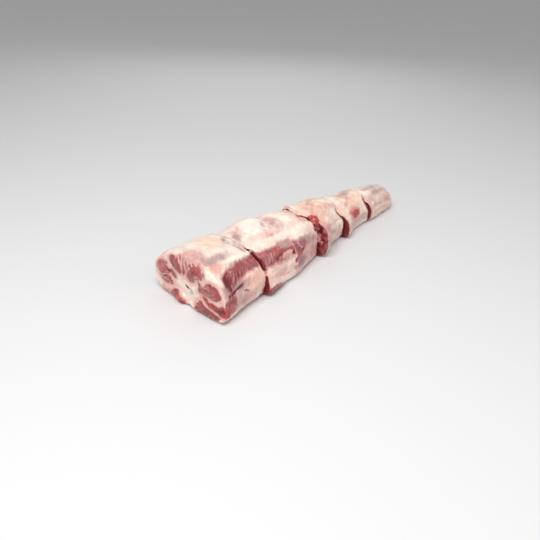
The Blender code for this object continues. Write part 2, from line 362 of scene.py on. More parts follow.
def turned(u, v, degrees):  # along a direction and across it
    c, s = math.cos(math.radians(degrees)), math.sin(math.radians(degrees))
    return u * c + v * s, v * c - u * s


def lay(values, share, strength):  # a negative strength takes away
    return values + (1 - values) * share * strength if strength > 0 else values * (1 + share * strength)


# The membrane's streaks and the soft unevenness of everything on the skin.
skin = {
    "slant": 48,  # degrees off the tail's line at which the streaks run down its sides
    "slantStretch": (0.16, 1, 0.3),  # along a streak, across it and into the flesh
    "alongStretch": (0.14, 1, 1),
    "blobs": {"wobble": 7, "along": 2.0, "slant": 2.2, "pale": 9},  # mm across
    "edge": {"streaks": 0.2, "wobble": 0.35},  # how they break up a patch's edge
    "groundUneven": (0.5, 13),
    "markWobble": 0.5,
    "markCore": 0.1,  # share of a mark's width at its full strength
    "markStreaks": 0.25,
    "cutCore": 0.2,  # the same for an edge along a cut
    "cutWobble": 0.6,
    "radian": 57.3,  # degrees
    "sheen": {"soft": 0.6, "onMuscle": 0.55, "from": (0.25, 0.9)},
    "deep": {"streaks": 0.6, "onMuscle": 0.3, "from": (0.1, 0.8)},
    "bright": 0.3,
    "relief": {"muscleStreaks": 0.35, "streaks": 0.08, "bundles": 0.25, "blobs": 2.6},  # mm
}


def paintSkin(grid, points, piece):
    made = {layer: np.zeros(grid["x"].shape) for layer in layers}
    lift = np.zeros(grid["x"].shape)
    seed, blobs = piece["seed"], skin["blobs"]
    count = grid["x"].shape[1]
    run = np.broadcast_to(np.arange(count) * grid["perimeter"] / count, grid["x"].shape)
    onSkin = 1 - smooth(*rimFade, np.abs(grid["zone"]))

    def runAt(degrees):
        return np.interp(np.radians(degrees % 360), grid["angle"][0], run[0], period=fullTurn)

    def apart(place, other=run):
        return (other - place + grid["perimeter"] / 2) % grid["perimeter"] - grid["perimeter"] / 2

    def laidOut(line):  # mm along the tail and mm round it, from the line's own middle
        middle = float(np.mean([degrees for _, degrees in line]))
        return apart(runAt(middle)), [(x, apart(runAt(middle), runAt(degrees))) for x, degrees in line]

    side = np.abs(apart(runAt(90)))  # mm down from the back, the same on both sides
    down, beside = turned(grid["x"], -side, skin["slant"])
    lines = np.stack([down, -beside, grid["r"]], -1) * skin["slantStretch"]
    wobble = [cloud(points, blobs["wobble"], seed + k, 3) for k in (1, 2)]
    along = cloud(points * skin["alongStretch"], blobs["along"], seed + 3, 2)
    slant = cloud(lines, blobs["slant"], seed + 4, 3)

    def spread(layer, inside, soft, strength, out):
        nonlocal lift
        edge = inside + skin["edge"]["streaks"] * soft * slant + skin["edge"]["wobble"] * wobble[0]
        share = smooth(-soft, soft, edge) * onSkin
        made[layer] = lay(made[layer], share, strength)
        lift = lift + share * out

    folded = 90 + np.abs((np.degrees(grid["angle"]) + 90) % 360 - 180)
    ground = np.clip(1 + uneven(points, skin["groundUneven"], seed + 7, 3), 0, 2)
    for layer, amounts in piece["ground"].items():
        made[layer] += roundRing(amounts, folded) * onSkin * ground
    scale = float(grid["reach"].mean()) / skin["radian"]  # mm round the skin to a degree
    for layer, patches in piece["patches"].items():
        for x, degrees, halfAlong, halfRound, soft, strength, *more in patches:
            out, turn = (*more, 0, 0)[:2]
            u, v = turned(grid["x"] - x + wobble[0], apart(runAt(degrees)) + wobble[1], turn)
            off = np.hypot(u / halfAlong, v / (halfRound * scale))
            spread(layer, (1 - off) * min(halfAlong, halfRound * scale), soft, strength, out)
    for outline, soft, strength, out in piece["bands"]:
        v, corners = laidOut(outline)
        inside = insideBy(grid["x"] + wobble[0], v + wobble[1], curveThrough(corners))
        spread("lean", inside, soft, strength, out)
    loose = skin["markWobble"]
    for layer, marks in piece["marks"].items():
        for line, width, strength, out in marks:
            v, corners = laidOut(line)
            away = insideBy(grid["x"] + loose * wobble[0], v + loose * wobble[1], np.array(corners), False)
            away = away + skin["markStreaks"] * width * along
            share = smooth(-width, -skin["markCore"] * width, away) * onSkin
            made[layer] = lay(made[layer], share, strength)
            lift = lift + share * out
    for end, layer, depth, amounts in piece["edges"]:
        away = grid[end] + skin["cutWobble"] * wobble[0]
        share = 1 - smooth(skin["cutCore"] * depth, depth, away)
        made[layer] = lay(made[layer], share * roundRing(amounts, folded) * onSkin, 1)
    lean, sheen, deep, out = made["lean"], skin["sheen"], skin["deep"], skin["relief"]
    onMuscle = sheen["onMuscle"] * lean * smooth(*sheen["from"], slant)
    made["sheen"] = np.maximum(made["sheen"] * smooth(-sheen["soft"], sheen["soft"], slant), onMuscle)
    onMuscle = lean * deep["onMuscle"] * smooth(*deep["from"], -slant)
    made["deep"] = np.clip(made["deep"] * (1 + deep["streaks"] * slant) + onMuscle, 0, 1)
    pale = onSkin * skin["bright"] * (1 - lean) * (slant + cloud(points, blobs["pale"], seed + 6, 2))
    made["bright"] = np.clip(made["bright"] + pale, 0, 1)
    lift = lift + onSkin * (lean * out["muscleStreaks"] + out["streaks"]) * slant
    lift = lift + onSkin * lean * out["bundles"] * cloud(points, out["blobs"], seed + 5, 2)
    return made, lift, slant


# What a lobe of muscle on a cut has unless it says otherwise; one that isn't lean only colours the fat.
usualLobe = {
    "layer": "lean",
    "strength": 1,
    "soft": 1.0,  # mm
    "grain": 60,  # degrees
    "marbling": 0.6,
    "deep": 0.15,
    "fresh": 0,
    "flush": 0,
}
# What all such cuts have. A pair that goes to uneven is how much, and mm across the blobs.
cutLook = {
    "out": 1.1,  # mm that a lobe of muscle stands out unless it says otherwise
    "rimFade": (0.2, 0.8),
    "rimUneven": (0.4, 3.5),
    "wobble": (0.8, 5),
    "warm": (0.25, 0.15),  # the fat between the lobes: how much, and how much the wobble adds
    "flush": 0.36,
    "flushUneven": (0.35, 9),
    "halo": (-4.5, 0.55),  # mm round a lobe that are pink, and how strongly
    "grain": {"stretch": (1, 0.3, 1), "blobs": 1.7, "fat": (0.25, 0.8), "out": 0.16},
    "dark": {"grain": 0.35, "from": (-0.2, -0.8), "uneven": (0.2, 6)},
    "red": {"amount": 0.45, "from": (0.1, 0.8), "blobs": 4.5},
    "round": 2.2,  # mm in from its edge over which a lobe rounds up
    "strokeCore": 0.25,
    "relief": ((0.3, 4.5), (0.12, 1.7)),  # mm
}


def blendIn(made, lift, near, share, face, out):  # a painted cut takes the place of what was there
    for layer in layers:
        made[layer][near] = made[layer][near] * (1 - share) + face.get(layer, 0) * share
    lift[near] = lift[near] * (1 - share) + out * share


def paintLobes(grid, points, cut, made, lift, end, seed):  # lobes of muscle that stand out of the fat
    grainy, dark, red = cutLook["grain"], cutLook["dark"], cutLook["red"]
    onRim = (np.abs(grid["zone"]) < 1) * uneven(points, cutLook["rimUneven"], seed + 20)
    isFace = smooth(*cutLook["rimFade"], grid["zone"] * zones[end] + onRim) * (grid["zone"] < beforeHole)
    near = isFace > 0
    at = points[near]
    loose, blobs = cutLook["wobble"]
    wobble = [cloud(at, blobs, seed + k, 3) for k in (6, 7)]
    u, v = (at[:, k + 1] + loose * wobble[k] for k in (0, 1))
    if "seams" in cut:  # they lie on a cut that meatFace has painted
        face, out = {layer: made[layer][near] for layer in layers}, lift[near]
    else:
        face, out = {layer: np.zeros(u.size) for layer in layers}, np.zeros(u.size)
        face["warm"] += cutLook["warm"][0] + cutLook["warm"][1] * wobble[0]
        face["flush"] += np.clip(cutLook["flush"] + uneven(at, cutLook["flushUneven"], seed + 8), 0, 1)
    for lobe in cut["lobes"]:
        lobe = {**usualLobe, **lobe}
        layer, soft = lobe["layer"], lobe["soft"]
        height = lobe.get("out", cutLook["out"] if layer == "lean" else 0)
        inside = insideBy(u, v, curveThrough(lobe["outline"]))
        share = smooth(-soft, soft, inside)
        if layer != "lean":
            face[layer] = lay(face[layer], share, lobe["strength"])
            out += share * height
            continue
        grain = np.stack([at[:, 0], *turned(u, v, lobe["grain"])], -1) * grainy["stretch"]
        grain = cloud(grain, grainy["blobs"], seed + 9, 2)
        fat = smooth(*grainy["fat"], grain) * lobe["marbling"]
        face["flush"] = lay(face["flush"], smooth(cutLook["halo"][0], 0, inside), cutLook["halo"][1])
        face["lean"] = lay(face["lean"], share * (1 - fat), lobe["strength"])
        inFibres = lobe["deep"] + dark["grain"] * smooth(*dark["from"], grain)
        inFibres = inFibres + uneven(at, dark["uneven"], seed + 10)
        fresh = red["amount"] * smooth(*red["from"], cloud(at, red["blobs"], seed + 21, 2))
        tints = {"deep": inFibres, "flush": lobe["flush"], "fresh": lobe["fresh"] + fresh}
        for other, amount in tints.items():
            face[other] = face[other] * (1 - share) + share * np.clip(amount, 0, 1)
        out = out * (1 - share) + share * height * (1 - np.exp(-np.maximum(inside, 0) / cutLook["round"]))
        out += share * grainy["out"] * grain
    for layer, line, width, strength, height in cut["strokes"]:
        away = insideBy(u, v, np.array(line, float), False)
        share = smooth(-width, -width * cutLook["strokeCore"], away)
        face[layer] = lay(face[layer], share, strength)
        if layer in ("bright", "flush"):  # seams of fat part the muscle
            face["lean"] = face["lean"] * (1 - share * min(1, abs(strength)))
        out += share * height
    out += uneven(at, cutLook["relief"][0], seed + 11) + uneven(at, cutLook["relief"][1], seed + 12)
    blendIn(made, lift, near, isFace[near], face, out)


# What a cut has unless it says otherwise, and what all of them have.
usualFace = {"deep": 0.7, "flush": 0.4, "fresh": 0, "rough": 0.25}
faceLook = {
    "turn": (9, 14),  # degrees that the seams wander
    "seamCore": 0.35,  # share of a seam's width that is all fat
    "rindEdge": (0.5, 1.3, 0.2),  # the shares of its thickness between which it ends, and mm more
    "rindUneven": (1.2, 2, 6),  # mm at most, shares of its thickness at most, mm across the blobs
    "coreSoft": 2.5,
    "coreUneven": (1.5, 6),
    "grain": 1.9,
    "marbling": (0.3, 0.8),
    "marbled": 0.3,
    "dark": (0.3, 5),
    "darkGrain": 0.25,
    "pink": (0.3, 7),
    "warm": 0.2,
    "relief": {"muscle": 0.9, "from": (0, 4), "seam": 0.3, "uneven": (0.2, 4)},  # mm
}


def meatFace(grid, points, face, made, lift, end, seed):  # a cut whose muscles meet in seams of fat
    isFace = grid["zone"] * zones[end]
    isFace = smooth(*rimFade, isFace) * (isFace < beforeHole)
    near = isFace > 0
    face = {**usualFace, **face}
    at = points[near]
    y, z = at[:, 1] - grid["middle"][0], at[:, 2] - grid["middle"][1]
    inward = grid["inward"][near]
    angle = np.degrees(np.arctan2(z, y)) + uneven(at, faceLook["turn"], seed)
    out = np.hypot(y, z)
    seam = np.zeros(out.shape)
    for degrees, width in face["seams"]:
        away = np.radians((angle - degrees + 180) % 360 - 180)
        seam = np.maximum(seam, 1 - smooth(width * faceLook["seamCore"], width, np.abs(away) * out))
    thick = roundRing(face["rind"], angle)
    most, share, blobs = faceLook["rindUneven"]
    inner, outer, more = faceLook["rindEdge"]
    reach = inward + uneven(at, (np.minimum(most, share * thick), blobs), seed + 1)
    rind = 1 - smooth(thick * inner, thick * outer + more, reach)
    reach = out + uneven(at, faceLook["coreUneven"], seed + 2, 1)
    core = 1 - smooth(face["core"], face["core"] + faceLook["coreSoft"], reach)
    fat = np.maximum(np.maximum(seam, rind), core)
    grain = cloud(at, faceLook["grain"], seed + 3, 2)
    dark = roundRing(face["deep"], angle) + uneven(at, faceLook["dark"], seed + 4)
    dark = dark - faceLook["darkGrain"] * grain
    kept = {
        "lean": (1 - fat) * (1 - faceLook["marbled"] * smooth(*faceLook["marbling"], grain)),
        "deep": np.clip(dark, 0, 1),
        "flush": np.clip(roundRing(face["flush"], angle) + uneven(at, faceLook["pink"], seed + 5, 1), 0, 1),
        "fresh": roundRing(face["fresh"], angle),
        "warm": faceLook["warm"],
    }
    relief = faceLook["relief"]
    height = relief["muscle"] * (1 - fat) * smooth(*relief["from"], inward) - relief["seam"] * seam
    height += face["rough"] * grain * (1 - fat)
    height += uneven(at, relief["uneven"], seed + 6)
    blendIn(made, lift, near, isFace[near], kept, height)


def addMesh(name, points, closed, values, material):  # rings of points: a hoop, or a tube with its ends shut
    rows, count = points.shape[:2]
    row, column = np.arange(rows if closed else rows - 1)[:, None], np.arange(count)[None, :]
    turns = ((0, 0), (0, 1), (1, 1), (1, 0))
    corners = [(row + r) % rows * count + (column + c) % count for r, c in turns]
    faces = np.stack(corners, -1).reshape(-1, 4).tolist()
    u, v = column + 0 * row, row + 0 * column
    places = [np.stack([(u + c) / count, (v + r) / rows], -1) for r, c in turns]
    places = np.stack(places, -2).reshape(-1, 2)
    if not closed:
        ring = np.arange(count)
        faces += [ring[::-1].tolist(), (ring + (rows - 1) * count).tolist()]
        shut = [np.stack([ring[::-1] / count, ring * 0], -1), np.stack([ring / count, ring * 0 + 1], -1)]
        places = np.concatenate([places, *shut])
    mesh = bpy.data.meshes.new(name)
    mesh.from_pydata(points.reshape(-1, 3) * mm, [], faces)
    mesh.uv_layers.new(name="OFBake").data.foreach_set("uv", places.ravel().astype(np.float32))
    for layer, amount in values.items():
        kept = mesh.attributes.new(layer, "FLOAT", "POINT")
        kept.data.foreach_set("value", np.clip(amount, 0, 1).ravel().astype(np.float32))
    mesh.polygons.foreach_set("use_smooth", [True] * len(mesh.polygons))
    mesh.materials.append(material)
    piece = bpy.data.objects.new(name, mesh)
    bpy.context.scene.collection.objects.link(piece)
    return piece


def add(tree, kind, inputs=None, **settings):  # one node, its settings and what feeds it
    node = tree.nodes.new("ShaderNode" + kind)
    for key, value in settings.items():
        setattr(node, key, value)
    for key, value in (inputs or {}).items():
        if isinstance(value, bpy.types.NodeSocket):
            tree.links.new(value, node.inputs[key])
        else:
            node.inputs[key].default_value = value
    return node


def newMaterial(name):
    material = bpy.data.materials.new(name)
    material.use_nodes = True
    return material, material.node_tree, material.node_tree.nodes["Principled BSDF"]


factor, first, second, mixed = 0, 6, 7, 2  # the sockets of a Mix node that mixes colours

# Raw veal: pale fat under a thin moist membrane, with pink to purple-red muscle where it is bare.
# Wet fat and muscle are soft to light, so they glow at thin edges and never shine like plastic.
veal = {
    "fat": "#f2dfd2",
    "peach": "#f0c9ab",
    "ivory": "#fbeedd",
    "pink": "#dfa59c",
    # the membrane's mauve grey; it is also the colour of painted shade in creases
    "membraneAndShade": "#b08e8b",
    "edge": "#cc938c",  # where muscle thins out under the membrane
    "muscle": "#974543",
    "paleMuscle": "#b36460",
    "veiledMuscle": "#95606a",  # seen through the membrane
    "cherry": "#b8332c",
    "bloody": "#6a1519",
    "fibre": "#d3aaa2",
    "bundle": 3.0,  # mm across the bundles that the muscle is made of
    "bundleBend": 1.6,  # how far their seams bend, in bundles
    "bundleDetail": 2.0,
    "bundleSeam": 0.12,  # half their width, in bundles
    "mottle": 6.0,  # mm
    "grain": 1.2,
    "streak": 1.1,
    "stretch": (0.16, 1, 1),  # streaks run along the tail
    "detail": 3.0,
    "rough": 0.6,
    # which pattern breaks up the edge of each painted layer, and how strongly
    "broken": {
        "warm": ("mottle", 0.8),
        "bright": ("mottle", 0.8),
        "flush": ("streak", 0.4),
        "veil": ("streak", 0.45),
        "fresh": ("grain", 0.6),
        "deep": ("grain", 0.6),
        "lean": ("grain", 0.3),
        "sheen": ("grain", 1.2),
    },
    "plain": (0.05, 0.95),  # how soon a layer begins to show, and is all there
    "paleParts": (0.35, 0.7),  # of the mottling, where muscle is pale
    "seamParts": (0.4, 0.75, 0.4),  # of the mottling, where the bundles' seams show, and how strongly
    "veiled": 0.7,
    "rim": (0.05, 0.5),  # how soon muscle takes the colour of its thin edge, and then its own
    "flesh": (0.45, 0.85),
    "sheen": (0.1, 1.0, 0.75),
    "smoothest": 0.21,  # its roughness, and how much more of it the mottling adds
    "dullParts": 0.3,
    "bump": {"streaks": 0.5, "strength": 0.35, "distance": 0.0004},
    "shader": {
        "IOR": 1.4,
        "Subsurface Weight": 0.2,
        "Subsurface Radius": (0.003, 0.0011, 0.0007),  # metres of red, green and blue light in flesh
        "Subsurface Scale": 1.0,
        "Coat Weight": 0.42,
        "Coat Roughness": 0.19,
    },
}


def rawVeal():
    material, tree, shader = newMaterial("rawVeal")
    place = add(tree, "TexCoord").outputs["Object"]
    drawn = add(tree, "VectorMath", {0: place, 1: veal["stretch"]}, operation="MULTIPLY").outputs["Vector"]
    tint = {name: linear(colour) for name, colour in veal.items() if str(colour).startswith("#")}

    def noise(vector, size):
        inputs = {"Vector": vector, "Scale": 1 / (size * mm)}
        inputs |= {"Detail": veal["detail"], "Roughness": veal["rough"]}
        return add(tree, "TexNoise", inputs).outputs["Fac"]

    def span(value, low, high, to=1.0):
        inputs = {"Value": value, "From Min": low, "From Max": high, "To Max": to}
        return add(tree, "MapRange", inputs, interpolation_type="SMOOTHSTEP").outputs["Result"]

    patterns = {name: noise(place, veal[name]) for name in ("mottle", "grain")}
    patterns["streak"] = noise(drawn, veal["streak"])
    mottle, grain, streak = patterns.values()

    def maths(operation, *values):
        return add(tree, "Math", dict(enumerate(values)), operation=operation).outputs[0]

    def painted(layer, reach=veal["plain"]):  # the pattern moves its edge to and fro
        pattern, strength = veal["broken"][layer]
        kept = add(tree, "Attribute", attribute_name=layer).outputs["Fac"]
        edge = maths("MULTIPLY", kept, maths("SUBTRACT", 1.0, kept))  # at most 0.25
        shift = maths("MULTIPLY", maths("SUBTRACT", patterns[pattern], 0.5), strength / 0.25)
        moved = maths("MULTIPLY_ADD", edge, shift, kept)
        return span(moved, *reach), moved

    def mix(share, below, above):
        sockets = {factor: share, first: below, second: above}
        return add(tree, "Mix", sockets, data_type="RGBA").outputs[mixed]

    colour = tint["fat"]
    for layer, over in (("warm", "peach"), ("bright", "ivory"), ("flush", "pink")):
        colour = mix(painted(layer)[0], colour, tint[over])
    # the membrane's mauve grey over the fat; along the creases between slices it is painted shade
    veil = painted("veil")[0]
    colour = mix(veil, colour, tint["membraneAndShade"])
    edge = mix(veil, tint["edge"], tint["membraneAndShade"])
    meat = mix(span(mottle, *veal["paleParts"]), tint["muscle"], tint["paleMuscle"])
    bundle = veal["bundle"] * mm
    bent = {"Vector": drawn, "Scale": 1 / bundle, "Detail": veal["bundleDetail"]}
    bent = add(tree, "TexNoise", bent).outputs["Color"]
    away = add(tree, "VectorMath", {0: bent, 1: (0.5, 0.5, 0.5)}, operation="SUBTRACT").outputs["Vector"]
    shift = {0: away, 1: (bundle * veal["bundleBend"],) * 3, 2: drawn}
    shifted = add(tree, "VectorMath", shift, operation="MULTIPLY_ADD").outputs["Vector"]
    inputs = {"Vector": shifted, "Scale": 1 / bundle}
    bundles = add(tree, "TexVoronoi", inputs, feature="DISTANCE_TO_EDGE").outputs["Distance"]
    seam = maths("MULTIPLY", span(bundles, veal["bundleSeam"], 0.0), span(mottle, *veal["seamParts"]))
    meat = mix(seam, meat, tint["fibre"])
    meat = mix(span(veil, 0, 1, veal["veiled"]), meat, tint["veiledMuscle"])
    for layer, over in (("fresh", "cherry"), ("deep", "bloody")):
        meat = mix(painted(layer)[0], meat, tint[over])
    rim, lean = painted("lean", veal["rim"])
    colour = mix(rim, colour, edge)
    colour = mix(span(lean, *veal["flesh"]), colour, meat)
    colour = mix(painted("sheen", veal["sheen"])[0], colour, tint["fibre"])
    tree.links.new(colour, shader.inputs["Base Color"])
    dull = maths("MULTIPLY_ADD", mottle, veal["dullParts"], veal["smoothest"])
    tree.links.new(dull, shader.inputs["Roughness"])
    bump = veal["bump"]
    height = maths("MULTIPLY_ADD", streak, bump["streaks"], grain)
    bump = add(tree, "Bump", {"Height": height, "Strength": bump["strength"], "Distance": bump["distance"]})
    tree.links.new(bump.outputs["Normal"], shader.inputs["Normal"])
    for socket, value in veal["shader"].items():
        shader.inputs[socket].default_value = value
    return material


# Fresh sawn bone: cream with a pink tinge, greyish marrow and a dark red canal; moist, but duller than meat.
bone = {
    "cream": "#f3dfcf",
    "pink": "#e6bdae",
    "marrow": "#bfb7be",
    "canal": "#6a1a1e",
    "pore": 1.4,  # mm
    "pinkParts": (0.45, 1.0),
    "bump": {"strength": 0.25, "distance": 0.0003},
    "shader": {
        "Roughness": 0.42,
        "IOR": 1.5,
        "Subsurface Weight": 0.15,
        "Subsurface Radius": (0.002, 0.001, 0.0007),
        "Subsurface Scale": 1.0,
        "Coat Weight": 0.3,
    },
}


def rawBone():
    material, tree, shader = newMaterial("rawBone")
    place = add(tree, "TexCoord").outputs["Object"]
    pores = {"Vector": place, "Scale": 1 / (bone["pore"] * mm), "Detail": 3.0}
    pores = add(tree, "TexNoise", pores).outputs["Fac"]
    low, high = bone["pinkParts"]
    share = add(tree, "MapRange", {"Value": pores, "From Min": low, "From Max": high}).outputs["Result"]
    colour = linear(bone["cream"])
    for layer in ("pink", "marrow", "canal"):
        if layer != "pink":
            share = add(tree, "Attribute", attribute_name=layer).outputs["Fac"]
        sockets = {factor: share, first: colour, second: linear(bone[layer])}
        colour = add(tree, "Mix", sockets, data_type="RGBA").outputs[mixed]
    tree.links.new(colour, shader.inputs["Base Color"])
    strength, distance = bone["bump"].values()
    bump = add(tree, "Bump", {"Height": pores, "Strength": strength, "Distance": distance})
    tree.links.new(bump.outputs["Normal"], shader.inputs["Normal"])
    for socket, value in bone["shader"].items():
        shader.inputs[socket].default_value = value
    return material


vealMaterial, boneMaterial = rawVeal(), rawBone()
print("materials made")

